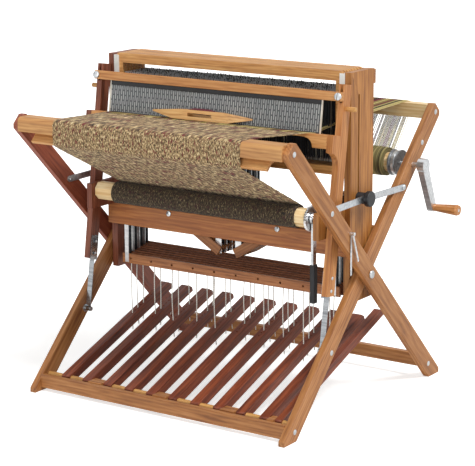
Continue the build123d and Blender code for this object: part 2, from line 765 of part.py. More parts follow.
# Beater arms: straight below, flared forward under the race, slotted at the top
arm_in = ARM_OUT - ARM_THICK
flare_low = RACE_LOW - FLARE_DROP
flare_start = flare_low - FLARE_R
arc_middle = math.sqrt(0.5) * FLARE_R
arm_edge = [
    Line((ARM_FRONT, ARM_LOW), (ARM_FRONT, flare_start)),
    ThreePointArc(
        (ARM_FRONT, flare_start),
        (ARM_FRONT - FLARE_R + arc_middle, flare_start + arc_middle),
        (ARM_FRONT - FLARE_R, flare_low),
    ),
    Polyline(
        (ARM_FRONT - FLARE_R, flare_low),
        (RACE_FRONT, flare_low),
        (RACE_FRONT, RACE_TOP),
        (ARM_FRONT, RACE_TOP),
        (ARM_FRONT, ARM_TOP),
        (ARM_BACK, ARM_TOP),
        (ARM_BACK, ARM_LOW),
        (ARM_FRONT, ARM_LOW),
    ),
]
arm = Pos(arm_in, 0, 0) * extrude(Plane.YZ * make_face(Curve() + arm_edge), ARM_THICK)
arm_middle = (arm_in + ARM_OUT) / 2
slot_half = ARM_SLOT_WIDE / 2
arm_slot = (arm_middle - slot_half, arm_middle + slot_half, ARM_FRONT - CUT, ARM_BACK + CUT)
arm -= board(*arm_slot, ARM_TOP - ARM_SLOT_DEEP, ARM_TOP + CUT)
write("beater_arms", *[lean(piece) for piece in both(arm)])

# Beater top rail on the front of the arms, grooved for the reed
hand_rail_front = ARM_FRONT - HAND_RAIL_THICK
hand_rail_top = HAND_RAIL_LOW + HAND_RAIL_TALL
hand_rail = board(-ARM_OUT, ARM_OUT, hand_rail_front, ARM_FRONT, HAND_RAIL_LOW, hand_rail_top)
reed_half = REED_THICK / 2
reed_span = REED_HALF + REED_POST
groove = REED_SEAT + SKIM
reed_low, reed_high = RACE_TOP - REED_SEAT, HAND_RAIL_LOW + REED_SEAT
seat = (-reed_span - CUT, reed_span + CUT, REED_V - reed_half - FIT, REED_V + reed_half + FIT)
hand_rail -= board(*seat, HAND_RAIL_LOW - CUT, HAND_RAIL_LOW + groove)
write("beater_top_rail", lean(hand_rail))

# Race: a shelf in front of the reed with a scooped bracket under each end
race_under = RACE_TOP - RACE_SHELF
race = board(-arm_in, arm_in, RACE_FRONT, ARM_FRONT, race_under, RACE_TOP)
apron_back = RACE_FRONT + RACE_APRON
bracket_in = arm_in - RACE_BRACKET
bracket = board(bracket_in, arm_in, RACE_FRONT, apron_back, RACE_LOW, race_under)
scoop_r = race_under - RACE_LOW - BRACKET_LIP
bracket -= rod_y(scoop_r, RACE_FRONT - CUT, apron_back + CUT, bracket_in, RACE_LOW)
race = race + bracket + mirrored(bracket)
race -= board(*seat, RACE_TOP - groove, RACE_TOP + CUT)
write("race_board", lean(race))

# Reed: a thin comb of blades in a frame of two rims and two posts
reed = board(-REED_HALF, REED_HALF, REED_V - REED_BLADE / 2, REED_V + REED_BLADE / 2, reed_low, reed_high)
for low in (reed_low, reed_high - REED_RIM):
    reed += board(-reed_span, reed_span, REED_V - reed_half, REED_V + reed_half, low, low + REED_RIM)
post = board(REED_HALF, reed_span, REED_V - reed_half, REED_V + reed_half, reed_low, reed_high)
reed = reed + post + mirrored(post)
write("reed", lean(reed))

# Leaf springs: an eye on the foot pin, a flat leaf and a plate on the arm's inner face
leaf_x = BACK_IN - SKIM - EYE_FLANGE - EYE_PLAY
leaf_in = leaf_x - SPRING_WIDE
spring = rod_x(EYE_R, leaf_in, leaf_x, 0, 0)
spring += board(leaf_in, leaf_x, -SPRING_THICK / 2, SPRING_THICK / 2, EYE_PIN_R + CUT, ARM_LOW)
plate_front, plate_back = ARM_FRONT + PLATE_EDGE, ARM_BACK - PLATE_EDGE
shelf_low = ARM_LOW - PLATE_SHELF - EYE_PLAY
spring += board(leaf_in, arm_in, plate_front, plate_back, shelf_low, ARM_LOW - EYE_PLAY)
spring += board(arm_in - SPRING_PLATE, arm_in, plate_front, plate_back, shelf_low, SPRING_PLATE_TOP)
spring -= rod_x(EYE_PIN_R + FIT, leaf_in - CUT, leaf_x + CUT, 0, 0)
write("beater_springs", *[lean(piece) for piece in both(spring)])

# Spring feet: flanged pins on the back legs' inner faces
foot = rod_x(EYE_FLANGE_R, BACK_IN - SKIM - EYE_FLANGE, BACK_IN - SKIM, BEATER_FOOT_Y, BEATER_FOOT_Z)
pin_end = leaf_in - EYE_PLAY - EYE_HEAD
foot += rod_x(EYE_PIN_R, pin_end, BACK_IN - SKIM, BEATER_FOOT_Y, BEATER_FOOT_Z)
foot += rod_x(EYE_HEAD_R, pin_end, leaf_in - EYE_PLAY, BEATER_FOOT_Y, BEATER_FOOT_Z)
write("spring_feet", *both(foot))

# Beater fastenings: rail bolts, dowel pegs and the spring plate's bolts
rail_middle = (HAND_RAIL_LOW + hand_rail_top) / 2
rail_bolt = rod_y(RAIL_BOLT_R, hand_rail_front - RAIL_BOLT, hand_rail_front, arm_middle, rail_middle)
peg = rod_x(PEG_R, ARM_OUT, ARM_OUT + PEG_LONG, 0, PEG_W)
fastenings = both(rail_bolt) + both(peg)
for up in ARM_BOLTS:
    fastenings += both(rod_x(ARM_BOLT_R, ARM_OUT, ARM_OUT + ARM_BOLT, 0, ARM_LOW + up))
    nut_out = arm_in - SPRING_PLATE
    fastenings += both(rod_x(ARM_BOLT_R, nut_out - ARM_NUT, nut_out, 0, ARM_LOW + up))
write("beater_bolts", *[lean(piece) for piece in fastenings])

# Boat shuttle with its open well and a slot in its front wall, lying on the race
quarter_wide = SHUTTLE_WIDE / 2 / SHUTTLE_FULL
hull_edge = [
    Spline((-SHUTTLE_LONG / 2, 0), (-SHUTTLE_LONG / 4, quarter_wide), (0, SHUTTLE_WIDE / 2),
           (SHUTTLE_LONG / 4, quarter_wide), (SHUTTLE_LONG / 2, 0)),
    Spline((SHUTTLE_LONG / 2, 0), (SHUTTLE_LONG / 4, -quarter_wide), (0, -SHUTTLE_WIDE / 2),
           (-SHUTTLE_LONG / 4, -quarter_wide), (-SHUTTLE_LONG / 2, 0)),
]
shuttle = extrude(make_face(Curve() + hull_edge), SHUTTLE_TALL)
half_long, half_deck, half_keel = SHUTTLE_LONG / 2, SHUTTLE_DECK / 2, SHUTTLE_KEEL / 2
boat_side = [(-half_long, SHUTTLE_TIP_LOW), (-half_long, SHUTTLE_TIP_HIGH)]
boat_side += [(-half_deck, SHUTTLE_TALL), (half_deck, SHUTTLE_TALL)]
boat_side += [(half_long, SHUTTLE_TIP_HIGH), (half_long, SHUTTLE_TIP_LOW), (half_keel, 0), (-half_keel, 0)]
shuttle = shuttle & (Rot(0, 0, -90) * plate(boat_side, -SHUTTLE_WIDE, SHUTTLE_WIDE))
shuttle -= Pos(0, 0, SHUTTLE_TALL / 2 + SHUTTLE_FLOOR) * Box(SHUTTLE_WELL, SHUTTLE_WELL_WIDE, SHUTTLE_TALL)
front_wall = SHUTTLE_WIDE - SHUTTLE_WELL_WIDE
side_slot = Box(SHUTTLE_SLOT, front_wall, SHUTTLE_SLOT_TALL)
shuttle -= Pos(0, -SHUTTLE_WIDE / 2, SHUTTLE_TALL / 2) * side_slot
shuttle_swing = SHUTTLE_LONG / 4 * math.sin(math.radians(SHUTTLE_TURN))
shuttle_v = REED_V - reed_half - SHUTTLE_GAP - SHUTTLE_WIDE / 2 - shuttle_swing
shuttle_w = RACE_TOP + WEB_THICK + 2 * SKIM
write("shuttle", lean(Pos(SHUTTLE_X, shuttle_v, shuttle_w) * Rot(0, 0, SHUTTLE_TURN) * shuttle))

# Threading hooks: a peg on the right breast leg with a long hook and a short one that sways back
leg_turn = math.radians(LEG_SLOPE)
peg_y, peg_z = on_leg(HOOK_PEG, -1)
peg_y += HOOK_PEG_UP * math.sin(leg_turn)
peg_z += HOOK_PEG_UP * math.cos(leg_turn)
hooks = rod_x(HOOK_PEG_R, 0, HOOK_PEG_LONG, 0, 0)
for layer, long, sway in ((1, HOOK_LONG, 0.0), (3, HOOK_SHORT, HOOK_SWAY)):
    blade_x = layer * 2 * HOOK_THICK
    blade = board(blade_x, blade_x + HOOK_THICK, -HOOK_WIDE / 2, HOOK_WIDE / 2, -long, 0)
    hooks += Rot(sway, 0, 0) * blade
write("threading_hooks", Pos(BREAST_OUT, peg_y, peg_z) * hooks)

# Cloth beam between two cheeks on the front board
cloth_beam = octagon(CLOTH_FLATS, CLOTH_LEFT, CLOTH_RIGHT, CLOTH_Y, CLOTH_Z)
cloth_beam += rod_x(AXLE_R, -CHEEK_IN - CHEEK_THICK, CHEEK_IN + CHEEK_THICK, CLOTH_Y, CLOTH_Z)
write("cloth_beam", cloth_beam)
cheek_back = board_front
cheek = board(CHEEK_IN, CHEEK_IN + CHEEK_THICK, CHEEK_FRONT, cheek_back, CHEEK_LOW, CHEEK_LOW + CHEEK_TALL)
tail = board(CHEEK_IN, CHEEK_IN + CHEEK_THICK, cheek_back, CASTLE_FRONT, board_top, CHEEK_LOW + CHEEK_TALL)
cheek = cheek - rod_x(AXLE_R + FIT, CHEEK_IN - CUT, CHEEK_IN + CHEEK_THICK + CUT, CLOTH_Y, CLOTH_Z) + tail
right_cheek = cheek + rod_x(PAWL_PIN_R, CLOTH_RIGHT + CUT, CHEEK_IN, PAWL_Y, PAWL_Z)
write("beam_cheeks", right_cheek, mirrored(cheek))
roll = rod_x(CLOTH_ROLL_R, -WEB_HALF, WEB_HALF, CLOTH_Y, CLOTH_Z)
roll -= octagon(CLOTH_FLATS + 2 * FIT, -WEB_HALF - CUT, WEB_HALF + CUT, CLOTH_Y, CLOTH_Z)
write("cloth_roll", roll)

# Ratchet wheel with sawtooth edge
teeth = []
for k in range(RATCHET_TEETH):
    for radius, turn in ((RATCHET_R, 0.0), (RATCHET_ROOT, 0.1)):
        angle = 2 * math.pi * (k + turn) / RATCHET_TEETH
        teeth.append((CLOTH_Y + radius * math.cos(angle), CLOTH_Z + radius * math.sin(angle)))
ratchet = plate(teeth, CLOTH_RIGHT, CLOTH_RIGHT + RATCHET_THICK)
ratchet -= rod_x(AXLE_R + FIT, CLOTH_RIGHT - CUT, CLOTH_RIGHT + RATCHET_THICK + CUT, CLOTH_Y, CLOTH_Z)
write("ratchet_wheel", ratchet)

# Ratchet lever and its grip
lever_in = CLOTH_RIGHT + RATCHET_THICK + LEVER_GAP
lever_out = lever_in + LEVER_THICK
lever = rod_x(LEVER_HUB_R, lever_in, lever_out, CLOTH_Y, CLOTH_Z)
half = LEVER_WIDE / 2
lever += board(lever_in, lever_out, CLOTH_Y - half, CLOTH_Y + half, CLOTH_Z - LEVER_END + GRIP_CAP, CLOTH_Z)
lever -= rod_x(AXLE_R + FIT, lever_in - CUT, lever_out + CUT, CLOTH_Y, CLOTH_Z)
write("ratchet_lever", lever)
lever_x = (lever_in + lever_out) / 2
grip_high = CLOTH_Z - LEVER_BAR
grip_low = CLOTH_Z - LEVER_END
grip = Box(GRIP_THICK, GRIP_WIDE, grip_high - grip_low)
grip = fillet(grip.edges().filter_by(Axis.Z), GRIP_ROUND)
grip = Pos(lever_x, CLOTH_Y, (grip_high + grip_low) / 2) * grip
bar_low = CLOTH_Z - LEVER_END + GRIP_CAP - FIT
grip_bore = (lever_in - FIT, lever_out + FIT, CLOTH_Y - half - FIT, CLOTH_Y + half + FIT)
grip -= board(*grip_bore, bar_low, grip_high + CUT)
write("lever_grip", grip)

# Holding pawl behind the ratchet wheel
pawl_in = CLOTH_RIGHT + PAWL_INSET
pawl_tip_y = CLOTH_Y + RATCHET_R + PAWL_GAP
pawl_back = PAWL_Y + PAWL_HALF
pawl_high = PAWL_Z + PAWL_HALF
pawl_outline = [(pawl_back, PAWL_Z - PAWL_HALF), (pawl_back, pawl_high), (PAWL_Y - PAWL_NOSE, pawl_high)]
pawl_outline += [(pawl_tip_y, CLOTH_Z + PAWL_TIP), (pawl_tip_y, CLOTH_Z - PAWL_TIP)]
pawl = plate(pawl_outline, pawl_in, pawl_in + PAWL_THICK)
pawl -= rod_x(PAWL_PIN_R + FIT, pawl_in - CUT, pawl_in + PAWL_THICK + CUT, PAWL_Y, PAWL_Z)
write("ratchet_pawl", pawl)

# Warp beam between the back legs, its axle running out to the crank
warp_beam = octagon(WARP_FLATS, -WARP_HALF, WARP_HALF, WARP_Y, WARP_Z)
warp_beam += rod_x(AXLE_R, -BACK_OUT, crank_out, WARP_Y, WARP_Z)
write("warp_beam", warp_beam)
warp_roll = rod_x(WARP_ROLL_R, -WARP_ROLL_HALF, WARP_ROLL_HALF, WARP_Y, WARP_Z)
warp_roll -= octagon(WARP_FLATS + 2 * FIT, -WARP_ROLL_HALF - CUT, WARP_ROLL_HALF + CUT, WARP_Y, WARP_Z)
write("warp_roll", warp_roll)

# Brake drum with two flanges, and the brake band that hugs it and hangs from the leg
drum_out = DRUM_IN + DRUM_WIDE
drum = rod_x(DRUM_R, DRUM_IN, drum_out, WARP_Y, WARP_Z)
drum += rod_x(DRUM_FLANGE_R, DRUM_IN, DRUM_IN + DRUM_FLANGE, WARP_Y, WARP_Z)
drum += rod_x(DRUM_FLANGE_R, drum_out - DRUM_FLANGE, drum_out, WARP_Y, WARP_Z)
drum -= rod_x(AXLE_R + FIT, DRUM_IN - CUT, drum_out + CUT, WARP_Y, WARP_Z)
write("brake_drum", drum)
band_r = DRUM_R + SKIM
band = rod_x(band_r + BAND_THICK, band_in, band_in + BAND_WIDE, WARP_Y, WARP_Z)
band -= rod_x(band_r, band_in - CUT, band_in + BAND_WIDE + CUT, WARP_Y, WARP_Z)
hook_z = on_leg(SECOND_BOLT, 1)[1]
band += board(band_in, band_in + BAND_WIDE, band_y, band_y + BAND_THICK, WARP_Z, hook_z)
band += board(band_in, BACK_IN, band_y, band_y + BAND_THICK, hook_z - BAND_TAB, hook_z)
band += wire(WIRE_R, (wire_top - wire_low).length)
write("brake_cable", band)

# Crank on the end of the warp beam's axle, with a grip that spins on its pin
crank_angle = math.radians(CRANK_TURN)
tip_y = WARP_Y + CRANK_ARM * math.sin(crank_angle)
tip_z = WARP_Z - CRANK_ARM * math.cos(crank_angle)
crank_side = (math.cos(crank_angle), math.sin(crank_angle))
crank_bar = plate(
    [
        (WARP_Y - CRANK_WAIST * crank_side[0], WARP_Z - CRANK_WAIST * crank_side[1]),
        (tip_y - CRANK_TIP_R * crank_side[0], tip_z - CRANK_TIP_R * crank_side[1]),
        (tip_y + CRANK_TIP_R * crank_side[0], tip_z + CRANK_TIP_R * crank_side[1]),
        (WARP_Y + CRANK_WAIST * crank_side[0], WARP_Z + CRANK_WAIST * crank_side[1]),
    ],
    CRANK_IN,
    crank_out,
)
crank = crank_bar + rod_x(CRANK_HUB_R, CRANK_IN, crank_out + CRANK_BOSS, WARP_Y, WARP_Z)
crank += rod_x(CRANK_TIP_R, CRANK_IN, crank_out, tip_y, tip_z)
crank -= rod_x(AXLE_R + FIT, CRANK_IN - CUT, crank_out, WARP_Y, WARP_Z)
crank += rod_x(GRIP_PIN_R, crank_out, grip_out, tip_y, tip_z)
write("crank", crank)
turned = [(grip_in, 0), (grip_in, CRANK_GRIP_NECK_R), (grip_in + CRANK_GRIP_SWELL, CRANK_GRIP_R)]
turned += [(grip_out, CRANK_GRIP_END_R), (grip_out, 0)]
knob_face = make_face(Polyline(*turned, close=True))
crank_grip = Pos(0, tip_y, tip_z) * revolve(knob_face, Axis.X)
write("crank_grip", crank_grip - rod_x(GRIP_PIN_R + FIT, grip_in - CUT, grip_out + CUT, tip_y, tip_z))

lay = WEB_THICK / 2 + SKIM
loose = lay + WEB_EASE


def leaned(v, w):
    """A point of the upright beater after it leans back."""
    turn = math.radians(BEATER_LEAN)
    y = BEATER_FOOT_Y + v * math.cos(turn) + w * math.sin(turn)
    z = BEATER_FOOT_Z + w * math.cos(turn) - v * math.sin(turn)
    return y, z


def over_beam(facing):
    """The web's line over a beam, from its inner edge round its outer corner."""
    radius = BEAM_ROUND + lay + BEAM_SKIN
    corner_y, corner_z = BEAM_FAR - BEAM_ROUND, BEAM_TOP - BEAM_ROUND
    line = [(BEAM_FAR - BEAM_DEPTH - WEB_EASE, corner_z + radius)]
    for k in range(WEB_TURNS + 1):
        turn = math.radians(90.0 * k / WEB_TURNS)
        line.append((corner_y + radius * math.sin(turn), corner_z + radius * math.cos(turn)))
    return [(facing * y, z) for y, z in line]


# Woven cloth: drawn in from the reed to the breast beam, then round the slat and back to the cloth roll
slat_dip = (SLAT_WIDE - SLAT_THICK) / 2 * math.sin(math.radians(LEG_SLOPE))
cloth_line = [leaned(REED_V - REED_THICK / 2 - SKIM, RACE_TOP + lay), leaned(RACE_FRONT, RACE_TOP + lay)]
cloth_line += over_beam(-1)
cloth_line += [(SLAT_Y - slat_rise - loose, SLAT_Z - slat_dip)]
cloth_line += [(SLAT_Y - slat_dip - SLAT_EASE, SLAT_Z - slat_rise - loose)]
cloth_line += [(CLOTH_Y - CLOTH_ROLL_R / 3, CLOTH_Z + CLOTH_ROLL_R + loose)]
cloth_line += [(CLOTH_Y, CLOTH_Z + CLOTH_ROLL_R + lay)]
reed_y, beam_y = cloth_line[0][0], BEAM_DEPTH - BEAM_FAR
outer = REED_WEB_HALF + CUT
wedge = Polyline((WEB_HALF, beam_y), (REED_WEB_HALF, reed_y), (outer, reed_y), (outer, beam_y), close=True)
draw_in = extrude(make_face(wedge), CASTLE_TOP)
draw_in += board(WEB_HALF, outer, -CASTLE_TOP, beam_y, 0, CASTLE_TOP)
draw_in += board(WEB_HALF, outer, -CASTLE_TOP, CASTLE_TOP, 0, BEAM_LOW)
cloth_web = ribbon(cloth_line, -REED_WEB_HALF, REED_WEB_HALF)
write("cloth_web", cloth_web - draw_in - mirrored(draw_in))

# Warp: from the castle over the back beam and down to the warp roll
leave = math.radians(-WEB_LEAVES)
roll_r = WARP_ROLL_R + lay
warp_line = [(WEB_BACK_Y, WEB_BACK_Z), *over_beam(1), (BEAM_FAR + lay + BEAM_SKIN, BEAM_LOW)]
warp_line += [(WARP_Y + roll_r * math.cos(leave), WARP_Z + roll_r * math.sin(leave))]
write("warp_web", ribbon(warp_line, -WARP_WEB_HALF, WARP_WEB_HALF))
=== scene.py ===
import json
import math
import random

import bmesh
import bpy
from mathutils import Matrix, Vector


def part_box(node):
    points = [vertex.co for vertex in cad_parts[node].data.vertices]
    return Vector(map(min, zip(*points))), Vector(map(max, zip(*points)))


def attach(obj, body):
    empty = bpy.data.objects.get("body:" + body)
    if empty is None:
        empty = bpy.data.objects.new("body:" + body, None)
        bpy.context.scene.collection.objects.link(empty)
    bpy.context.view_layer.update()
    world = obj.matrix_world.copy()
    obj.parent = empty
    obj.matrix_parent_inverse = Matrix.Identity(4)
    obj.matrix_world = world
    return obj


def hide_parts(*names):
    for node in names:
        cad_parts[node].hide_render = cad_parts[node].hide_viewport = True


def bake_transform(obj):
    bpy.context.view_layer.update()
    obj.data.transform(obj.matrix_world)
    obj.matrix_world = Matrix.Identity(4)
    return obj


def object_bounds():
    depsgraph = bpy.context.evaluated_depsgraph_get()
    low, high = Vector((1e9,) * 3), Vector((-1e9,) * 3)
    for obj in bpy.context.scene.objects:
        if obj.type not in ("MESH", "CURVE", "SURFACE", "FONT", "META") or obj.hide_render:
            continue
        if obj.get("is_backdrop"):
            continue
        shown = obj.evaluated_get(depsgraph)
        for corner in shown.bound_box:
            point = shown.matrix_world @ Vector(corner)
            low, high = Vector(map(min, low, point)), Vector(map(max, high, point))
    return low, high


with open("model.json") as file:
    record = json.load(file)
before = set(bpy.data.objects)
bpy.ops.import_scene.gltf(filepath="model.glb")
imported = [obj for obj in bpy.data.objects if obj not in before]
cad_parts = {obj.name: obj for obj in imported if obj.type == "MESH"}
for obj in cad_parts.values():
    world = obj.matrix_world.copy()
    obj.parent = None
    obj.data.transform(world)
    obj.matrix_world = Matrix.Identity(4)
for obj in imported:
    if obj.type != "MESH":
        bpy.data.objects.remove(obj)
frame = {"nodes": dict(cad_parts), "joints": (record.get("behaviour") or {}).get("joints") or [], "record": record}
cad_low, cad_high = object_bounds()
scene = bpy.context.scene
body_nodes = frame["record"]["behaviour"]["bodies"]
node_body = {node: body for body, nodes in body_nodes.items() for node in nodes}
joint_at = {joint["name"]: Vector(joint.get("pos_m", (0, 0, 0))) for joint in frame["joints"]}
middle_x = joint_at["fold"].x

# The place of the photograph: a long lens to the front right of the loom, a little above its beams.
# The loom stands on a plain pale floor against white, in soft light that comes from the right.
EYE = Vector((3.35405, -4.9785, 1.9071))
YAW, PITCH, ROLL = (math.radians(angle) for angle in (34.30, 12.82, -0.31))
LENS_MM = 135.95
SENSOR_MM = 36.0
KEY_FROM, KEY_SOFT, KEY_LEVEL = Vector((2.6, -0.6, 4.2)), math.radians(20), 2.6
FRONT_FROM, FRONT_SOFT, FRONT_LEVEL = Vector((0.6, -4.6, 0.5)), math.radians(50), 1.4
AMBIENT = 0.34
FLOOR_HALF = 30.0
FLOOR_DROP = 0.0005
FLOOR_LIFT = 0.60

ahead = Vector((-math.sin(YAW) * math.cos(PITCH), math.cos(YAW) * math.cos(PITCH), -math.sin(PITCH)))
level = Vector((math.cos(YAW), math.sin(YAW), 0))
right = level * math.cos(ROLL) + level.cross(ahead) * math.sin(ROLL)
facing = Matrix((right, right.cross(ahead), -ahead)).transposed().to_4x4()
camera_data = bpy.data.cameras.new("camera")
camera_data.lens = LENS_MM
camera_data.sensor_width = SENSOR_MM
camera = bpy.data.objects.new("camera", camera_data)
camera.matrix_world = Matrix.Translation(EYE) @ facing
scene.collection.objects.link(camera)
scene.camera = camera
scene.view_settings.view_transform = "Standard"

for name, source, softness, strength in (
    ("key", KEY_FROM, KEY_SOFT, KEY_LEVEL),
    ("front", FRONT_FROM, FRONT_SOFT, FRONT_LEVEL),
):
    lamp_data = bpy.data.lights.new(name, "SUN")
    lamp_data.angle = softness
    lamp_data.energy = strength
    lamp = bpy.data.objects.new(name, lamp_data)
    lamp.matrix_world = (-source).to_track_quat("-Z", "Y").to_matrix().to_4x4()
    scene.collection.objects.link(lamp)


def linear(code):
    """A six-digit sRGB colour as linear red, green, blue and alpha."""
    shares = [int(code[i:i + 2], 16) / 255 for i in (0, 2, 4)]
    return [c / 12.92 if c <= 0.04045 else ((c + 0.055) / 1.055) ** 2.4 for c in shares] + [1.0]


def set_inputs(tree, node, inputs):
    """Fill a node's inputs with values, with other nodes' outputs, or with nodes, by their first output."""
    for key, value in inputs.items():
        if isinstance(value, bpy.types.Node):
            value = value.outputs[0]
        if isinstance(value, bpy.types.NodeSocket):
            tree.links.new(value, node.inputs[key])
        else:
            node.inputs[key].default_value = value


def add_node(tree, kind, inputs=None, stops=(), **settings):
    """One shader node with its settings, its inputs and, on a ramp, the place and colour of each stop."""
    node = tree.nodes.new("ShaderNode" + kind)
    for key, value in settings.items():
        setattr(node, key, value)
    set_inputs(tree, node, inputs or {})
    for index, (spot, code) in enumerate(stops):
        while len(node.color_ramp.elements) <= index:
            node.color_ramp.elements.new(spot)
        node.color_ramp.elements[index].position = spot
        node.color_ramp.elements[index].color = linear(code)
    return node


def new_material(name):
    """An empty node material with its tree and its shader."""
    material = bpy.data.materials.new(name)
    material.use_nodes = True
    return material, material.node_tree, material.node_tree.nodes["Principled BSDF"]


# White to the camera and in the bright metal, a dim even sky to everything else.
WHITE = linear("FFFFFF")
world = bpy.data.worlds.new("white_field")
world.use_nodes = True
scene.world = world
sky = world.node_tree
path = add_node(sky, "LightPath")
clear = add_node(sky, "Math", operation="MAXIMUM",
                 inputs={0: path.outputs["Is Camera Ray"], 1: path.outputs["Is Transmission Ray"]})
seen = add_node(sky, "Math", {0: clear, 1: path.outputs["Is Glossy Ray"]}, operation="MAXIMUM")
dim = add_node(sky, "Background", {"Color": WHITE, "Strength": AMBIENT})
white = add_node(sky, "Background", {"Color": WHITE, "Strength": 1.0})
both = add_node(sky, "MixShader", {0: seen, 1: dim, 2: white})
set_inputs(sky, sky.nodes["World Output"], {"Surface": both})

# Pale paper that keeps the loom's shadow and is lifted to white for the camera.
paper, tree, shader = new_material("pale_paper_floor")
set_inputs(tree, shader, {"Base Color": linear("F2F2F0"), "Roughness": 0.9})
path = add_node(tree, "LightPath")
lift = add_node(tree, "Emission", {"Color": WHITE, "Strength": FLOOR_LIFT})
lifted = add_node(tree, "AddShader", {0: shader, 1: lift})
shown = add_node(tree, "MixShader", {0: path.outputs["Is Camera Ray"], 1: shader, 2: lifted})
set_inputs(tree, tree.nodes["Material Output"], {"Surface": shown})
form = bmesh.new()
bmesh.ops.create_grid(form, x_segments=1, y_segments=1, size=FLOOR_HALF)
floor_mesh = bpy.data.meshes.new("floor")
form.to_mesh(floor_mesh)
form.free()
floor_mesh.materials.append(paper)
floor = bpy.data.objects.new("floor", floor_mesh)
floor.location.z = cad_low.z - FLOOR_DROP
scene.collection.objects.link(floor)
floor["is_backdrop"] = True

# Tie-up cords: white braided cotton, tied to the lamms and passed through holes in the treadles.
# Each treadle is tied to three lamms of its set, and the tails hang below it.
CORD_TOP, LAMM_STEP = 0.380, 0.0032
CORD_R = 0.00175
CORD_TAIL, TAIL_BACK = 0.045, 0.001
CORD_SWAY = 0.0035
HOLE_OVER, HOLE_UNDER = 0.016, 0.014
BACK_IN, TREADLE_END, TREADLE_SHIFT = 0.499, 0.09005, -0.008
TREADLE_COUNT, SHAFT_COUNT, SKIPPED = 10, 8, 3
TREADLE_PITCH = 2 * (BACK_IN - TREADLE_END) / (TREADLE_COUNT - 1)
SHAFT_FIRST, SHAFT_PITCH = -0.041, 0.0165
ROD_Y, ROD_Z, TREADLE_SLOPE = -0.410, 0.048, math.radians(19.7)

# Off-white cotton with the slanted lay of its braid, one turn in about 7 mm.
cotton, tree, shader = new_material("braided_cotton_cord")
place = add_node(tree, "TexCoord").outputs["Object"]
lay = add_node(tree, "TexWave", {"Vector": place, "Scale": 90.0, "Distortion": 2.0},
               bands_direction="DIAGONAL")
tone = add_node(tree, "ValToRGB", {0: lay.outputs["Fac"]}, [(0.0, "CFCBC0"), (1.0, "FAF8F2")])
grain = add_node(tree, "Bump", {"Strength": 0.4, "Distance": 0.0004, "Height": lay.outputs["Fac"]})
set_inputs(tree, shader, {"Base Color": tone, "Normal": grain, "Roughness": 0.85})


def cord_line(name, points, radius, material):
    """A round cord along one smooth open line."""
    line = bpy.data.curves.new(name, "CURVE")
    line.dimensions = "3D"
    line.bevel_depth = radius
    line.bevel_resolution = 2
    line.resolution_u = 6
    spline = line.splines.new("NURBS")
    spline.points.add(len(points) - 1)
    for point, at in zip(spline.points, points):
        point.co = (*at, 1.0)
    spline.order_u = 3
    spline.use_endpoint_u = True
    line.materials.append(material)
    piece = bpy.data.objects.new(name, line)
    scene.collection.objects.link(piece)
    return piece


chance = random.Random(7)
for first, word in enumerate(("odd", "even")):
    tied = []
    for k in range(first, TREADLE_COUNT, 2):
        for i in range(first, SHAFT_COUNT, 2):
            if (i + k) % SHAFT_COUNT // 2 == SKIPPED:
                continue
            x = middle_x + TREADLE_SHIFT + (k - (TREADLE_COUNT - 1) / 2) * TREADLE_PITCH
            y = SHAFT_FIRST + SHAFT_PITCH * i
            hole = ROD_Z + (y - ROD_Y) * math.tan(TREADLE_SLOPE)
            top = CORD_TOP + LAMM_STEP * i
            drop = top - hole
            lean = chance.uniform(-1, 1) * CORD_SWAY
            route = [
                (x, y, top),
                (x + lean, y, top - 0.2 * drop),
                (x + 1.4 * lean, y, top - 0.55 * drop),
                (x, y, hole + HOLE_OVER),
                (x, y, hole - HOLE_UNDER),
                (x - 1.6 * lean, y - TAIL_BACK, hole - CORD_TAIL),
            ]
            cord = cord_line(f"tie_cord_{word}_{k}_{i}", route, CORD_R, cotton)
            tied.append(cord)
    for cord in tied:
        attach(cord, f"lamms_{word}")
    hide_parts(f"tie_cords_{word}")

# Crossed legs: solid hardwood planks, sawn to a point at the feet, with eased edges and an oiled face.
# The outer pair carries the breast beam and the inner pair the back beam.
EASE = 0.0018
EDGE_MIN = 0.012
SHARP = math.radians(30)
FLAT = math.radians(0.4)
WELD = 2e-5
QUARTER = math.radians(90)
ACROSS, UPRIGHT = (0, 0, 0), (0, QUARTER, 0)
BREAST_WAY, BACK_WAY = (math.radians(-135), 0, -QUARTER), (math.radians(-45), 0, -QUARTER)


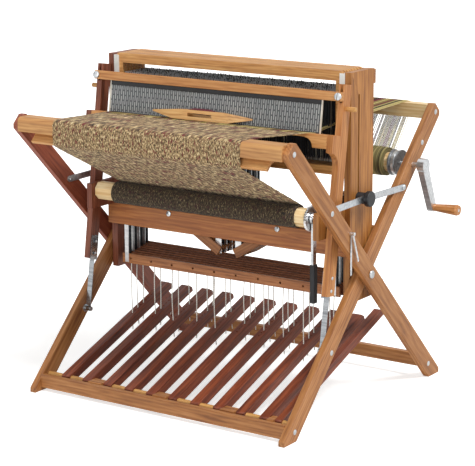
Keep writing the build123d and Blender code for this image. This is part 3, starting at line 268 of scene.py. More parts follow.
def oiled_wood(name, tones, turn=ACROSS, sheen=0.42):
    """Oiled hardwood: figure about 16 mm wide and ten times as long, growth rings about 10 mm apart, dark
    pores and a tone of its own for each board. tones are light, middle and dark, and turn lays the
    pattern's X along the grain."""
    material, tree, shader = new_material(name)
    place = add_node(tree, "TexCoord").outputs["Object"]
    board = add_node(tree, "NewGeometry").outputs["Random Per Island"]
    turned = add_node(tree, "Mapping", {"Vector": place, "Rotation": turn})
    apart = add_node(tree, "VectorMath", {0: board, 1: (3.1, 1.7, 2.3)}, operation="MULTIPLY")
    moved = add_node(tree, "VectorMath", {0: turned, 1: apart}, operation="ADD")
    drawn = add_node(tree, "Mapping", {"Vector": moved, "Scale": (0.10, 1.0, 1.0)})
    figure = add_node(tree, "TexNoise", {"Vector": drawn, "Scale": 64.0, "Detail": 5.0, "Distortion": 0.5})
    rings = add_node(tree, "TexWave", wave_type="RINGS", rings_direction="X",
                     inputs={"Vector": drawn, "Scale": 30.0, "Distortion": 7.0, "Detail": 3.0})
    both = add_node(tree, "Math", {0: rings.outputs["Fac"], 1: 0.16, 2: figure}, operation="MULTIPLY_ADD")
    tone = add_node(tree, "ValToRGB", {0: both}, [(0.28, tones[2]), (0.54, tones[1]), (0.80, tones[0])])
    # Pores are drawn a few times coarser than life so that they show from where the camera stands.
    fine = add_node(tree, "Mapping", {"Vector": moved, "Scale": (0.04, 1.0, 1.0)})
    pores = add_node(tree, "TexNoise", {"Vector": fine, "Scale": 420.0, "Detail": 2.0})
    open_pores = add_node(tree, "MapRange", {"Value": pores, "From Min": 0.56, "From Max": 0.72})
    shade = add_node(tree, "MapRange", {"Value": board, "To Min": 0.90, "To Max": 1.08})
    tinted = add_node(tree, "HueSaturation", {"Value": shade, "Color": tone})
    dark = add_node(tree, "Math", {0: open_pores, 1: 0.46}, operation="MULTIPLY")
    pored = add_node(tree, "MixRGB", {"Fac": dark, "Color1": tinted, "Color2": linear(tones[2])})
    gloss = add_node(tree, "MapRange", {"Value": pores, "To Min": sheen - 0.06, "To Max": sheen + 0.16})
    relief = add_node(tree, "Bump", invert=True,
                      inputs={"Strength": 0.25, "Distance": 0.0006, "Height": open_pores})
    set_inputs(tree, shader, {"Base Color": pored, "Roughness": gloss, "Normal": relief})
    return material


def joined(start):
    """All the vertices that hang together with one."""
    met, batch, todo = {start}, [], [start]
    while todo:
        vert = todo.pop()
        batch.append(vert)
        for edge in vert.link_edges:
            other = edge.other_vert(vert)
            if other not in met:
                met.add(other)
                todo.append(other)
    return batch


def islands(form):
    """The separate solids of a mesh, each as a list of its vertices."""
    met, found = set(), []
    for start in form.verts:
        if start not in met:
            found.append(joined(start))
            met.update(found[-1])
    return found


def span(points):
    """Lowest and highest corner of some points."""
    low = Vector([min(point[i] for point in points) for i in range(3)])
    high = Vector([max(point[i] for point in points) for i in range(3)])
    return low, high


def copied(node, wanted=None):
    """A merged copy of a CAD piece's mesh, or of those of its solids whose box is wanted."""
    form = bmesh.new()
    form.from_mesh(frame["nodes"][node].data)
    bmesh.ops.remove_doubles(form, verts=form.verts[:], dist=WELD)
    if wanted:
        spare = [batch for batch in islands(form) if not wanted(*span([v.co for v in batch]))]
        bmesh.ops.delete(form, geom=[v for batch in spare for v in batch], context="VERTS")
    return form


def seat(form, name, material, body, slot, *nodes):
    """A finished form as a piece that rides on a body and stands for CAD nodes."""
    mesh = bpy.data.meshes.new(name)
    form.to_mesh(mesh)
    form.free()
    mesh.materials.append(material)
    mesh.shade_smooth()
    mesh.set_sharp_from_angle(angle=SHARP)
    piece = bpy.data.objects.new(name, mesh)
    scene.collection.objects.link(piece)
    if body:
        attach(piece, body)
    if nodes:
        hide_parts(*nodes)
    return piece


def round_over(form, edges, offset, segments, clamp=False):
    """Round some edges of a form."""
    bmesh.ops.bevel(form, geom=edges, offset=offset, offset_type="OFFSET", segments=segments, profile=0.5,
                    affect="EDGES", clamp_overlap=clamp, material=-1)


def eased(node, material, slot="frame_wood", ease=EASE, wanted=None, name=None):
    """A wooden piece with its long sawn edges rounded over, as sanding leaves them."""
    form = copied(node, wanted)
    bmesh.ops.dissolve_limit(form, angle_limit=FLAT, verts=form.verts[:], edges=form.edges[:])
    long_edges = [
        e for e in form.edges
        if e.is_manifold and e.calc_length() > EDGE_MIN and e.calc_face_angle_signed() > SHARP
    ]
    round_over(form, long_edges, ease, segments=2, clamp=True)
    piece = seat(form, name or f"{node}_eased", material, node_body[node], slot, node)
    normals = piece.modifiers.new("even_normals", "WEIGHTED_NORMAL")
    normals.keep_sharp = True
    return piece


CHERRY = ("B67F4C", "A06836", "724220")
# SHADED holds darker, redder tones that paint shade into left-hand pieces of the same wood.
SHADED = ("8E5138", "7A4029", "552619")
eased("breast_leg_right", oiled_wood("oiled_cherry_breast_legs", CHERRY, BREAST_WAY))
# The left breast leg's wood is painted darker and redder than the right one's, as painted shade.
eased("breast_leg_left", oiled_wood("painted_shade_cherry_breast_leg", ("9C5439", "88442E", "622B1C"), BREAST_WAY))
back_grain = oiled_wood("oiled_cherry_back_legs", CHERRY, BACK_WAY)
for side in ("left", "right"):
    eased(f"back_leg_{side}", back_grain)

# Floor rails, castle rails and front board: planks on edge between the legs or the castle's sides.
# They are of the same oiled hardwood, and their grain runs across the loom.
cross_grain = oiled_wood("oiled_cherry_rails", CHERRY)
for node in ("front_floor_rail", "rear_floor_rail", "castle_back_rails"):
    eased(node, cross_grain)
eased("front_board", oiled_wood("oiled_cherry_front_board", ("AE7039", "97592B", "74401F")))

# Breast beam, cloth slat and back beam: hard maple polished by the web.
# The front pair has turned to honey, and the back beam is paler.
pale_grain = oiled_wood("bare_maple_beams", ("F3DDB0", "E9C994", "CFA468"), sheen=0.5)
honey_grain = oiled_wood("honey_maple_beams", ("D2A064", "BC8650", "8E5E34"), sheen=0.5)
eased("back_beam", pale_grain, "pale_wood")
for node in ("breast_beam", "cloth_slat"):
    eased(node, honey_grain, "pale_wood")


# Castle: two upright sides of oiled hardwood with a long slot for the folding knob.
# The cheeks that carry the cloth beam are fixed to them. The left side and its cheek are painted darker and
# redder, as painted shade.
def on_right(low, high):
    """Whether a solid lies in the right half of the loom."""
    return low.x > middle_x


def on_left(low, high):
    """Whether a solid lies in the left half of the loom."""
    return low.x < middle_x


upright_grain = oiled_wood("oiled_cherry_castle", ("B57C40", "9D652D", "6F401C"), UPRIGHT)
# The left side and cheek take the SHADED tones: painted shade.
shade_painted_upright = oiled_wood("painted_shade_cherry_castle", SHADED, UPRIGHT)
for node in ("castle_sides", "beam_cheeks"):
    eased(node, upright_grain, wanted=on_right, name=f"{node}_right")
    eased(node, shade_painted_upright, wanted=on_left, name=f"{node}_left")


# Shaft guides: white strips moulded in plastic and set in the castle's corners.
# Their ribs keep the shafts apart.
def moulded_plastic(name, light, dark, gloss):
    """Injection-moulded plastic: a faint uneven tone some 30 mm broad and a matt skin of grit about 1 mm."""
    material, tree, shader = new_material(name)
    place = add_node(tree, "TexCoord").outputs["Object"]
    cloud = add_node(tree, "TexNoise", {"Vector": place, "Scale": 30.0, "Detail": 3.0})
    tone = add_node(tree, "ValToRGB", {0: cloud}, [(0.3, dark), (0.7, light)])
    skin = add_node(tree, "TexNoise", {"Vector": place, "Scale": 900.0, "Detail": 2.0})
    relief = add_node(tree, "Bump", {"Strength": 0.15, "Distance": 0.0003, "Height": skin})
    wear = add_node(tree, "MapRange", {"Value": cloud, "To Min": gloss - 0.08, "To Max": gloss + 0.12})
    set_inputs(tree, shader, {"Base Color": tone, "Roughness": wear, "Normal": relief})
    return material


def finish_node(node, material):
    """A CAD piece whose shape is right, with its real finish."""
    mesh = frame["nodes"][node].data
    mesh.materials.clear()
    mesh.materials.append(material)


finish_node("shaft_guides", moulded_plastic("white_nylon_guides", "F0F0EC", "DDDDD6", 0.45))

# Shafts: eight thin hardwood frames side by side, sliding in the guides.
# Their lifting straps are left to the section on lamms and jacks.
SHAFT_WOOD = ("DCA968", "C98F50", "9A6231")
STRAP_BROAD = 0.1
SHAFT_EASE = 0.0012
for word in ("odd", "even"):
    eased(f"shafts_{word}", oiled_wood(f"oiled_cherry_shafts_{word}", SHAFT_WOOD), ease=SHAFT_EASE,
          wanted=lambda low, high: high.x - low.x > STRAP_BROAD)

# Heddles: black cord loops with a small eye, strung between two flat steel bars in each shaft.
# They hang unevenly and leave a bright gap under the top rail.
# They are drawn thicker and fewer than life so that they show from where the camera stands.
HEDDLE_PITCH, HEDDLE_SPREAD = 0.0072, (0.55, 1.45)
HEDDLE_DEPTH, HEDDLE_HALF, HEDDLE_BOW = 0.0011, 0.0011, 0.0025
HEDDLE_INSET, HEDDLE_UNDER, HEDDLE_OVER, HEDDLE_UNEVEN = 0.004, 0.004, 0.002, (-0.004, 0.006)
EYE_HALF, EYE_TALL, EYE_UNEVEN = 0.0034, 0.012, 0.003
BAR_TALL, BAR_THICK, BAR_PAST = 0.007, 0.0016, 0.018
BAR_UNDER, BAR_OVER = 0.034, 0.018
CURTAIN_HALF = 0.00075

# Black polyester cord, with a dull cream thread here and there.
loop_cord, tree, shader = new_material("black_polyester_heddles")
solid = add_node(tree, "NewGeometry")
tone = add_node(tree, "ValToRGB", {0: solid.outputs["Random Per Island"]},
                [(0.0, "0C0D10"), (0.90, "24262B"), (0.905, "8C8778")])
set_inputs(tree, shader, {"Base Color": tone, "Roughness": 0.8})


def add_box(form, low, high):
    """A plain bar between two corners."""
    made = bmesh.ops.create_cube(form, size=1.0)["verts"]
    bmesh.ops.scale(form, vec=Vector(high) - Vector(low), verts=made)
    bmesh.ops.translate(form, vec=(Vector(low) + Vector(high)) / 2, verts=made)


def sleeve(form, rings):
    """Walls from ring to ring of vertices, and a cap on each end."""
    sides = len(rings[0])
    for a, b in zip(rings, rings[1:]):
        for s in range(sides):
            t = (s + 1) % sides
            form.faces.new((a[s], a[t], b[t], b[s]))
    form.faces.new(rings[0][::-1])
    form.faces.new(rings[-1])


chance = random.Random(11)
bar_boxes = {"odd": [], "even": []}
for word in ("odd", "even"):
    low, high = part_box(f"heddles_{word}")
    form = bmesh.new()
    curtains = copied(f"heddles_{word}")
    rows = sorted({round(span([v.co for v in batch])[0].y, 5) for batch in islands(curtains)})
    curtains.free()
    for row in rows:
        y = row + CURTAIN_HALF
        for z in (low.z + BAR_OVER, high.z - BAR_UNDER):
            bar_boxes[word].append(((low.x - BAR_PAST, y - BAR_THICK / 2, z - BAR_TALL / 2),
                                    (high.x + BAR_PAST, y + BAR_THICK / 2, z + BAR_TALL / 2)))
        x = low.x + HEDDLE_INSET
        while x < high.x - HEDDLE_INSET:
            top = high.z - BAR_UNDER + HEDDLE_OVER + chance.uniform(*HEDDLE_UNEVEN)
            foot = low.z + BAR_OVER - HEDDLE_UNDER
            eye = (top + foot) / 2 + chance.uniform(-EYE_UNEVEN, EYE_UNEVEN)
            bow = chance.uniform(-HEDDLE_BOW, HEDDLE_BOW)
            outline = [(x, foot, HEDDLE_HALF), (x + bow, eye - EYE_TALL, HEDDLE_HALF),
                       (x + bow, eye, EYE_HALF), (x + bow, eye + EYE_TALL, HEDDLE_HALF),
                       (x, top, HEDDLE_HALF)]
            rings = []
            for cx, z, half in outline:
                corners = ((-half, -1), (half, -1), (half, 1), (-half, 1))
                rings.append([form.verts.new((cx + dx, y + side * HEDDLE_DEPTH, z)) for dx, side in corners])
            sleeve(form, rings)
            x += HEDDLE_PITCH * chance.uniform(*HEDDLE_SPREAD)
    seat(form, f"heddle_loops_{word}", loop_cord, f"shafts_{word}", "heddle_cord", f"heddles_{word}")


# Heddle bars: flat steel strips, zinc plated, set in the stiles of each shaft.
# The heddles slide on them.
def brushed_metal(name, light, dark, gloss, turn=ACROSS):
    """Plated or painted metal: drawn lines about 2 mm wide, coarser than life, and a tone that shifts a
    little along them. turn lays the lines along the metal."""
    material, tree, shader = new_material(name)
    place = add_node(tree, "TexCoord").outputs["Object"]
    turned = add_node(tree, "Mapping", {"Vector": place, "Rotation": turn, "Scale": (0.06, 1.0, 1.0)})
    lines = add_node(tree, "TexNoise", {"Vector": turned, "Scale": 500.0, "Detail": 2.0})
    cloud = add_node(tree, "TexNoise", {"Vector": turned, "Scale": 120.0, "Detail": 2.0})
    tone = add_node(tree, "ValToRGB", {0: cloud}, [(0.2, dark), (0.6, light)])
    wear = add_node(tree, "MapRange", {"Value": lines, "To Min": gloss - 0.08, "To Max": gloss + 0.14})
    relief = add_node(tree, "Bump", {"Strength": 0.08, "Distance": 0.0002, "Height": lines})
    set_inputs(tree, shader, {"Base Color": tone, "Metallic": 1.0, "Roughness": wear, "Normal": relief})
    return material


zinc = brushed_metal("zinc_plated_steel", "D6D9DB", "AEB2B6", 0.30)
for word, boxes in bar_boxes.items():
    form = bmesh.new()
    for low, high in boxes:
        add_box(form, low, high)
    seat(form, f"heddle_bars_{word}", zinc, f"shafts_{word}", "steel")

# Lamms: thin hardwood bars with a row of cord holes, hung from the outer ends of the jacks by steel straps.
# Jacks: short hardwood levers on pins in the front board. Flat straps carry the shafts on their inner ends.
STRAP_TALL = 0.2
FRONT_LAMM_Y = -0.040
JACK_SLOPE = math.radians(30.96)
JACK_WOOD = ("9C6638", "865229", "5C3217")
THIN_EASE = 0.001
lamm_grain = oiled_wood("oiled_cherry_front_lamm", ("B4784A", "9C6238", "6E3F22"))
# The lamms behind the front one are the same wood painted darker, as painted shade; the front lamm keeps the lit
# tone.
shade_painted_lamm_grain = oiled_wood("painted_shade_oiled_lamms", ("8E5632", "6E3E24", "432213"), sheen=0.78)
# The even set's straps are the same steel as the odd set's, painted dark as painted shade.
shade_painted_strap = brushed_metal("painted_shade_steel_straps", "4A4C50", "2C2E31", 0.40, UPRIGHT)
bright_strap = brushed_metal("bright_steel_straps", "F0F1F2", "D2D5D8", 0.36, UPRIGHT)
for word, strap in (("odd", bright_strap), ("even", shade_painted_strap)):
    eased(f"lamms_{word}", shade_painted_lamm_grain, ease=THIN_EASE, name=f"lamms_{word}_inner",
          wanted=lambda low, high: high.z - low.z < STRAP_TALL and low.y > FRONT_LAMM_Y)
    form = copied(f"lamms_{word}", lambda low, high: high.z - low.z >= STRAP_TALL)
    seat(form, f"lamm_straps_{word}", strap, f"lamms_{word}", "steel")
    form = copied(f"shafts_{word}", lambda low, high: high.x - low.x <= STRAP_BROAD)
    seat(form, f"lifting_straps_{word}", strap, f"shafts_{word}", "steel")
    for side, turn in (("right", JACK_SLOPE), ("left", -JACK_SLOPE)):
        jack_grain = oiled_wood(f"oiled_cherry_jacks_{side}_{word}", JACK_WOOD, (0, turn, 0))
        eased(f"jacks_{side}_{word}", jack_grain, ease=THIN_EASE)

eased("lamms_odd", lamm_grain, ease=THIN_EASE, name="lamm_front",
      wanted=lambda low, high: high.z - low.z < STRAP_TALL and low.y <= FRONT_LAMM_Y)

# Treadles: ten sloped hardwood bars with rounded noses on one steel rod, and the longer brake pedal.
# Short dowels keep them apart on the rod, and clip blocks on the rail hold the rod down.
CLIP_TALL = 0.030
TREADLE_EASE = 0.0015
TREADLE_WOOD = ("90492A", "74341C", "481C0F")
treadle_grain = oiled_wood("dark_oiled_treadles", TREADLE_WOOD, (-TREADLE_SLOPE, 0, -QUARTER))
for node in ("treadles_odd", "treadles_even", "brake_pedal"):
    eased(node, treadle_grain, "dark_wood", ease=TREADLE_EASE)
finish_node("treadle_rod", zinc)
dowel_grain = oiled_wood("honey_dowel_spacers", ("D9A868", "C28D4C", "8F5F2E"))
eased("treadle_spacers", cross_grain, wanted=lambda low, high: high.z - low.z > CLIP_TALL, name="rail_clips")
form = copied("treadle_spacers", lambda low, high: high.z - low.z <= CLIP_TALL)
seat(form, "dowel_spacers", dowel_grain, "back_frame", "pale_wood")

# Beater: a hinged frame of oiled hardwood with two arms, a hand rail and a race.
# It leans back on two leaf springs. The left arm is painted darker and redder, as painted shade.
BEATER_LEAN = math.radians(8.6)
ARM_WAY = (-QUARTER + BEATER_LEAN, 0, -QUARTER)
foot = joint_at["beater_swing"]
leaned = Matrix.Translation((0, foot.y, foot.z)) @ Matrix.Rotation(-BEATER_LEAN, 4, "X")
straight = leaned.inverted()
arm_grain = oiled_wood("oiled_cherry_beater_arms", ("C38850", "AD6F38", "864E26"), ARM_WAY)
# The left arm's darker, redder tones are painted shade.
shade_painted_arm = oiled_wood("painted_shade_cherry_beater_arm", SHADED, ARM_WAY)
eased("beater_arms", arm_grain, wanted=on_right, name="beater_arm_right")
eased("beater_arms", shade_painted_arm, wanted=on_left, name="beater_arm_left")
rail_grain = oiled_wood("oiled_cherry_beater_rails", ("D09A60", "BD8148", "965D30"))
for node in ("beater_top_rail", "race_board"):
    eased(node, rail_grain)
finish_node("beater_springs", brushed_metal("spring_steel_leaves", "B4B7BA", "7C7F84", 0.20, UPRIGHT))
finish_node("spring_feet", zinc)

# Reed: a steel comb bound in black rims, with off-white end posts; the warp runs between its blades.
# The blades are drawn broader and fewer than life so that they show from where the camera stands.
DENT_PITCH = 0.0032
DENT_WIDE, DENT_DEEP = 0.0026, 0.0020
REED_RIM_LOW, REED_RIM_TOP, RIM_ROUND = 0.009, 0.020, 0.0022
REED_POST, POST_ROUND = 0.0045, 0.0015
RIM_EDGE_MIN = 0.1


def upright_span(node):
    """The box of a beater piece, with the beater stood straight up over its foot."""
    return span([straight @ v.co for v in frame["nodes"][node].data.vertices])


reed_low, reed_high = upright_span("reed")
reed_mid = (reed_low.y + reed_high.y) / 2
form = bmesh.new()
count = int((reed_high.x - reed_low.x - 2 * REED_POST) / DENT_PITCH)
dent_first = (reed_low.x + reed_high.x) / 2 - (count - 1) / 2 * DENT_PITCH
for i in range(count):
    x = dent_first + i * DENT_PITCH
    add_box(form, (x - DENT_WIDE / 2, reed_mid - DENT_DEEP / 2, reed_low.z + REED_RIM_LOW / 2),
            (x + DENT_WIDE / 2, reed_mid + DENT_DEEP / 2, reed_high.z - REED_RIM_TOP / 2))
bmesh.ops.transform(form, matrix=leaned, verts=form.verts[:])
# Dull steel with short bright dashes in staggered rows, where the light catches the blades.
# The dashes are drawn nearly 30 mm tall so that they show from where the camera stands.
blade_steel, tree, shader = new_material("reed_blade_steel")
place = add_node(tree, "TexCoord").outputs["Object"]
laid = add_node(tree, "Mapping", {"Vector": place, "Rotation": (BEATER_LEAN + QUARTER, 0, QUARTER)})
dash = add_node(tree, "TexBrick", offset=0.5,
                inputs={"Vector": laid, "Scale": 1.0, "Brick Width": 0.034, "Row Height": 0.0085,
                        "Mortar Size": 0.0030, "Mortar Smooth": 0.3, "Color1": linear("BFC1C0"),
                        "Color2": linear("9FA2A2"), "Mortar": linear("5E6163")})
set_inputs(tree, shader, {"Base Color": dash, "Metallic": 0.3, "Roughness": 0.5})
seat(form, "reed_blades", blade_steel, "beater", "steel", "reed")
form = bmesh.new()
for low_z, high_z in ((reed_low.z, reed_low.z + REED_RIM_LOW), (reed_high.z - REED_RIM_TOP, reed_high.z)):
    add_box(form, (reed_low.x + REED_POST, reed_low.y, low_z),
            (reed_high.x - REED_POST, reed_high.y, high_z))
round_over(form, [e for e in form.edges if e.calc_length() > RIM_EDGE_MIN], RIM_ROUND, segments=3)
bmesh.ops.transform(form, matrix=leaned, verts=form.verts[:])
rim_black = moulded_plastic("black_bound_rim", "2A2B2E", "161719", 0.6)
seat(form, "reed_rims", rim_black, "beater", "black_plastic")
form = bmesh.new()
for low_x in (reed_low.x, reed_high.x - REED_POST):
    add_box(form, (low_x, reed_low.y, reed_low.z), (low_x + REED_POST, reed_high.y, reed_high.z))
round_over(form, form.edges[:], POST_ROUND, segments=2)
bmesh.ops.transform(form, matrix=leaned, verts=form.verts[:])
post_white = moulded_plastic("off_white_posts", "E6E2D6", "CFCABB", 0.5)
seat(form, "reed_posts", post_white, "beater", "white_plastic")

# Bolts: zinc-plated, with low domed heads on the legs, the front board, the arms and the hand rail.
# The shanks and pins stay as they are. A dome's outline is given in shares of its height and radius.
DOME = ((0.0, 1.0), (0.22, 1.0), (0.24, 0.90), (0.55, 0.80), (0.80, 0.58), (0.95, 0.28), (1.0, 0.0))
DOME_STEPS = 24
DOME_WELD = 1e-6
HEAD_LONG = 0.0075
OVAL_MOST = 0.25
PEG_LONG = 0.030


def lathe(form, points, steps, axis=(1, 0, 0), closed=True):
    """An outline turned once round an axis through the origin. Gives the vertices of the outline."""
    verts = [form.verts.new(at) for at in points]
    edges = [form.edges.new(pair) for pair in zip(verts, verts[1:])]
    if closed:
        edges.append(form.edges.new((verts[-1], verts[0])))
    bmesh.ops.spin(form, geom=verts + edges, cent=(0, 0, 0), axis=axis, dvec=(0, 0, 0), angle=2 * math.pi,
                   steps=steps, use_merge=True)
    bmesh.ops.recalc_face_normals(form, faces=form.faces[:])
    return verts


def domed(node, wanted=None):
    """The bolts of one piece, with each short round head turned into a dome on a thin washer."""
    form = copied(node, wanted)
    for batch in islands(form):
        low, high = span([v.co for v in batch])
        size = high - low
        axis = min(range(3), key=lambda i: size[i])
        across = [size[i] for i in range(3) if i != axis]
        if size[axis] > HEAD_LONG or abs(across[0] - across[1]) > OVAL_MOST * max(across):
            continue
        middle, radius, tall = (low + high) / 2, max(across) / 2, size[axis]
        sign = 1.0 if middle[axis] > (middle_x if axis == 0 else 0.0) else -1.0
        bmesh.ops.delete(form, geom=batch, context="VERTS")
        outline = [(share * radius, 0.0, rise * tall) for rise, share in DOME]
        made = joined(lathe(form, outline, DOME_STEPS, axis=(0, 0, 1), closed=False)[0])
        toward = Vector([sign if i == axis else 0.0 for i in range(3)])
        base = middle - toward * tall / 2
        stand = Matrix.Translation(base) @ toward.to_track_quat("Z", "Y").to_matrix().to_4x4()
        bmesh.ops.transform(form, matrix=stand, verts=made)
    bmesh.ops.remove_doubles(form, verts=form.verts[:], dist=DOME_WELD)
    bmesh.ops.recalc_face_normals(form, faces=form.faces[:])
    seat(form, f"{node}_domed", zinc, node_body[node], "steel", node)


for node in ("breast_leg_bolts", "back_leg_bolts", "castle_bolts"):
    domed(node)
domed("beater_bolts", lambda low, high: high.x - low.x < PEG_LONG)

# Pegs: two honey-coloured hardwood dowels that stand out of the beater's arms.
# They point outwards, one to the left and one to the right.
form = copied("beater_bolts", lambda low, high: high.x - low.x >= PEG_LONG)
seat(form, "beater_pegs", dowel_grain, "beater", "pale_wood")

# Fittings: black moulded knobs and lever grip, flat plated struts, and steel lever, ratchet, pawl and hooks.
# The crank and the brake drum are cast, and the crank's grip is turned from hardwood.
finish_node("fold_knobs", moulded_plastic("black_moulded_knobs", "24262A", "121316", 0.42))
strut_steel = brushed_metal("zinc_struts", "D2D6DA", "AEB4BA", 0.34, (0, 0, QUARTER))
for node in ("front_struts", "rear_struts"):
    finish_node(node, strut_steel)
finish_node("ratchet_lever", brushed_metal("chrome_lever", "E0E2E4", "B9BDC1", 0.22, UPRIGHT))
finish_node("lever_grip", moulded_plastic("black_lever_grip", "222326", "101113", 0.55))
finish_node("ratchet_wheel", brushed_metal("silver_ratchet", "F0F1F2", "C4C7CA", 0.28))
finish_node("ratchet_pawl", brushed_metal("black_pawl", "3A3B3E", "232427", 0.5))
finish_node("crank", brushed_metal("cast_aluminium_crank", "DDDFE1", "B4B7BA", 0.30, UPRIGHT))
finish_node("crank_grip", oiled_wood("turned_cherry_grip", ("C98E56", "B2763F", "875329"), sheen=0.34))
finish_node("brake_drum", brushed_metal("grey_cast_drum", "A9ABAD", "77797C", 0.45))
finish_node("threading_hooks", brushed_metal("bright_hook_steel", "E2E4E6", "B0B3B6", 0.32, UPRIGHT))

# Cloth beam and warp beam: pale eight-sided hardwood bars.
# Each turns on a steel axle that stands out at both ends.
AXLE_R = 0.0085
for node in ("cloth_beam", "warp_beam"):
    beam = eased(node, pale_grain, "pale_wood")
    beam.data.materials.append(zinc)
    low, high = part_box(node)
    axis = (low + high) / 2
    for face in beam.data.polygons:
        corners = [beam.data.vertices[i].co - axis for i in face.vertices]
        if max(math.hypot(c.y, c.z) for c in corners) < AXLE_R:
            face.material_index = 1

# Brake: a steel band round the drum on the warp beam, pulled by a wire from the pedal.
# The wire runs straight from the pedal to where it touches the band.
WIRE_R = 0.0010
WIRE_GAP, WIRE_LEAD, WIRE_FOOT = 0.004, 0.06, 0.004
BAND_R, BAND_THICK, BAND_WIDE = 0.0403, 0.0020, 0.010
ROLL_STEPS = 48
drum_low, drum_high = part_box("brake_drum")
drum_at = (drum_low + drum_high) / 2
wire_points = [v.co for v in frame["nodes"]["brake_cable"].data.vertices]
wire_z = min(p.z for p in wire_points)
tail = [p for p in wire_points if p.z < wire_z + WIRE_FOOT]
wire_foot = sum(tail, Vector()) / len(tail)
reach = Vector((0, wire_foot.y - drum_at.y, wire_foot.z - drum_at.z))
grip_r = BAND_R + BAND_THICK / 2
swing = math.atan2(reach.z, reach.y) + math.acos(grip_r / reach.length)
touch = Vector((drum_at.x, drum_at.y + grip_r * math.cos(swing), drum_at.z + grip_r * math.sin(swing)))
up = (touch - wire_foot).normalized()
route = [wire_foot, wire_foot + up * WIRE_LEAD, (wire_foot + touch) / 2, touch - up * WIRE_LEAD,
         touch - up * WIRE_GAP]
wire = cord_line("brake_wire", route, WIRE_R, zinc)
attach(wire, "back_frame")
form = bmesh.new()
outer_r, half = BAND_R + BAND_THICK, BAND_WIDE / 2
lathe(form, [(-half, BAND_R, 0), (-half, outer_r, 0), (half, outer_r, 0), (half, BAND_R, 0)], ROLL_STEPS)
bmesh.ops.translate(form, vec=drum_at, verts=form.verts[:])
seat(form, "brake_band", bright_strap, "back_frame", "steel", "brake_cable")

# Cloth: fine tweed of tan, olive and brown wool with maroon and dark flecks, woven in one piece.
# It runs from the fell in front of the race over the breast beam and round the slat to the cloth beam,
# and it draws in from the reed's width to the width on the beam.
FELL_Y = -0.205
CLOTH_THICK, SKIN_GAP = 0.0014, 0.0002
CLOTH_COLUMNS, CLOTH_STEP = 64, 0.012
CLOTH_INSET = 0.001
BEAM_ROUND, BEND_STEPS = 0.017, 8
SLAT_CLEAR, SLAT_NOSE, SLAT_TURN = 0.0016, 0.0085, 0.0078
ROLL_WRAP, WRAP_STEPS = 60, 6
EDGE_WAVE, EDGE_BEAT, EDGE_POWER = 0.0012, 1.7, 12
WEB_SAG, SAG_BEAT = 0.0004, 0.35
TOP_RUN, FRONT_RUN, UNDER_RUN = (0.40, 0.22), (1.0, 1.0), (0.45, 0.45)
web_low, web_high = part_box("cloth_web")
beam_low, beam_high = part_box("breast_beam")
slat_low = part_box("cloth_slat")[0]
roll_low, roll_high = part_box("cloth_roll")
roll_at, roll_r = (roll_low + roll_high) / 2, (roll_high.z - roll_low.z) / 2
skin = CLOTH_THICK / 2 + SKIN_GAP


def wool_tweed(name, tones, fleck):
    """Wool tweed: flecks drawn some 4 mm wide and longer along the warp, coarser than life, so that they
    show. tones run from dark to light, and fleck is the colour of the scattered spots."""
    material, tree, shader = new_material(name)
    cut = add_node(tree, "UVMap", uv_map="weave")
    long_way = add_node(tree, "Mapping", {"Vector": cut, "Scale": (1.0, 0.42, 1.0)})
    grist = add_node(tree, "TexNoise",
                     {"Vector": long_way, "Scale": 235.0, "Detail": 3.0, "Roughness": 0.75})
    base = add_node(tree, "ValToRGB", {0: grist}, list(zip((0.34, 0.44, 0.51, 0.58, 0.67), tones)))
    spun = add_node(tree, "Mapping", {"Vector": cut, "Scale": (1.0, 0.30, 1.0)})
    spot = add_node(tree, "TexNoise", {"Vector": spun, "Scale": 170.0, "Detail": 2.0})
    ruddy = add_node(tree, "MapRange", {"Value": spot, "From Min": 0.56, "From Max": 0.66})
    flecked = add_node(tree, "MixRGB", {"Fac": ruddy, "Color1": base, "Color2": linear(fleck)})
    drawn = add_node(tree, "Mapping", {"Vector": cut, "Scale": (1.0, 0.03, 1.0)})
    stripe = add_node(tree, "TexNoise", {"Vector": drawn, "Scale": 150.0, "Detail": 3.0})
    streak = add_node(tree, "MapRange", {"Value": stripe, "From Min": 0.35, "From Max": 0.65,
                                         "To Min": 0.80, "To Max": 1.12})
    toned = add_node(tree, "HueSaturation", {"Value": streak, "Color": flecked})
    weave = add_node(tree, "TexWave", {"Vector": cut, "Scale": 80.0, "Distortion": 1.0},
                     bands_direction="DIAGONAL")
    relief = add_node(tree, "Bump", {"Strength": 0.5, "Distance": 0.0006, "Height": weave.outputs["Fac"]})
    set_inputs(tree, shader,
               {"Base Color": toned, "Normal": relief, "Roughness": 0.95, "Sheen Weight": 0.04})
    return material


def arc(centre, radius, start, stop, steps):
    """Points on a bow in the plane across the loom, angles from the back upwards."""
    turns = [math.radians(start + (stop - start) * i / steps) for i in range(steps + 1)]
    return [Vector((0, centre[0] + radius * math.cos(t), centre[1] + radius * math.sin(t))) for t in turns]


def tangent(at, centre, radius, side):
    """Where a line from a point touches a roll, over it or under it."""
    away = (at.y - centre.y, at.z - centre.z)
    turn = math.atan2(away[1], away[0]) + side * math.acos(radius / math.hypot(*away))
    return Vector((0, centre.y + radius * math.cos(turn), centre.z + radius * math.sin(turn)))


def pattern_run(a, b):
    """How far the pattern moves on across and along one step of the web, as shares of the true way.
    On the two runs seen at a slant the flecks are drawn broader and longer than life, so that they show."""
    if abs(b.z - a.z) > abs(b.y - a.y):
        return FRONT_RUN
    return TOP_RUN if a.z > beam_low.z else UNDER_RUN


def along(points, step):
    """A line cut into short steps that keeps its corners, and the length of it up to each point."""
    out, reach = [points[0]], [0.0]
    for a, b in zip(points, points[1:]):
        pieces = math.ceil((b - a).length / step)
        for i in range(1, pieces + 1):
            out.append(a.lerp(b, i / pieces))
            reach.append(reach[-1] + (b - a).length / pieces)
    return out, reach


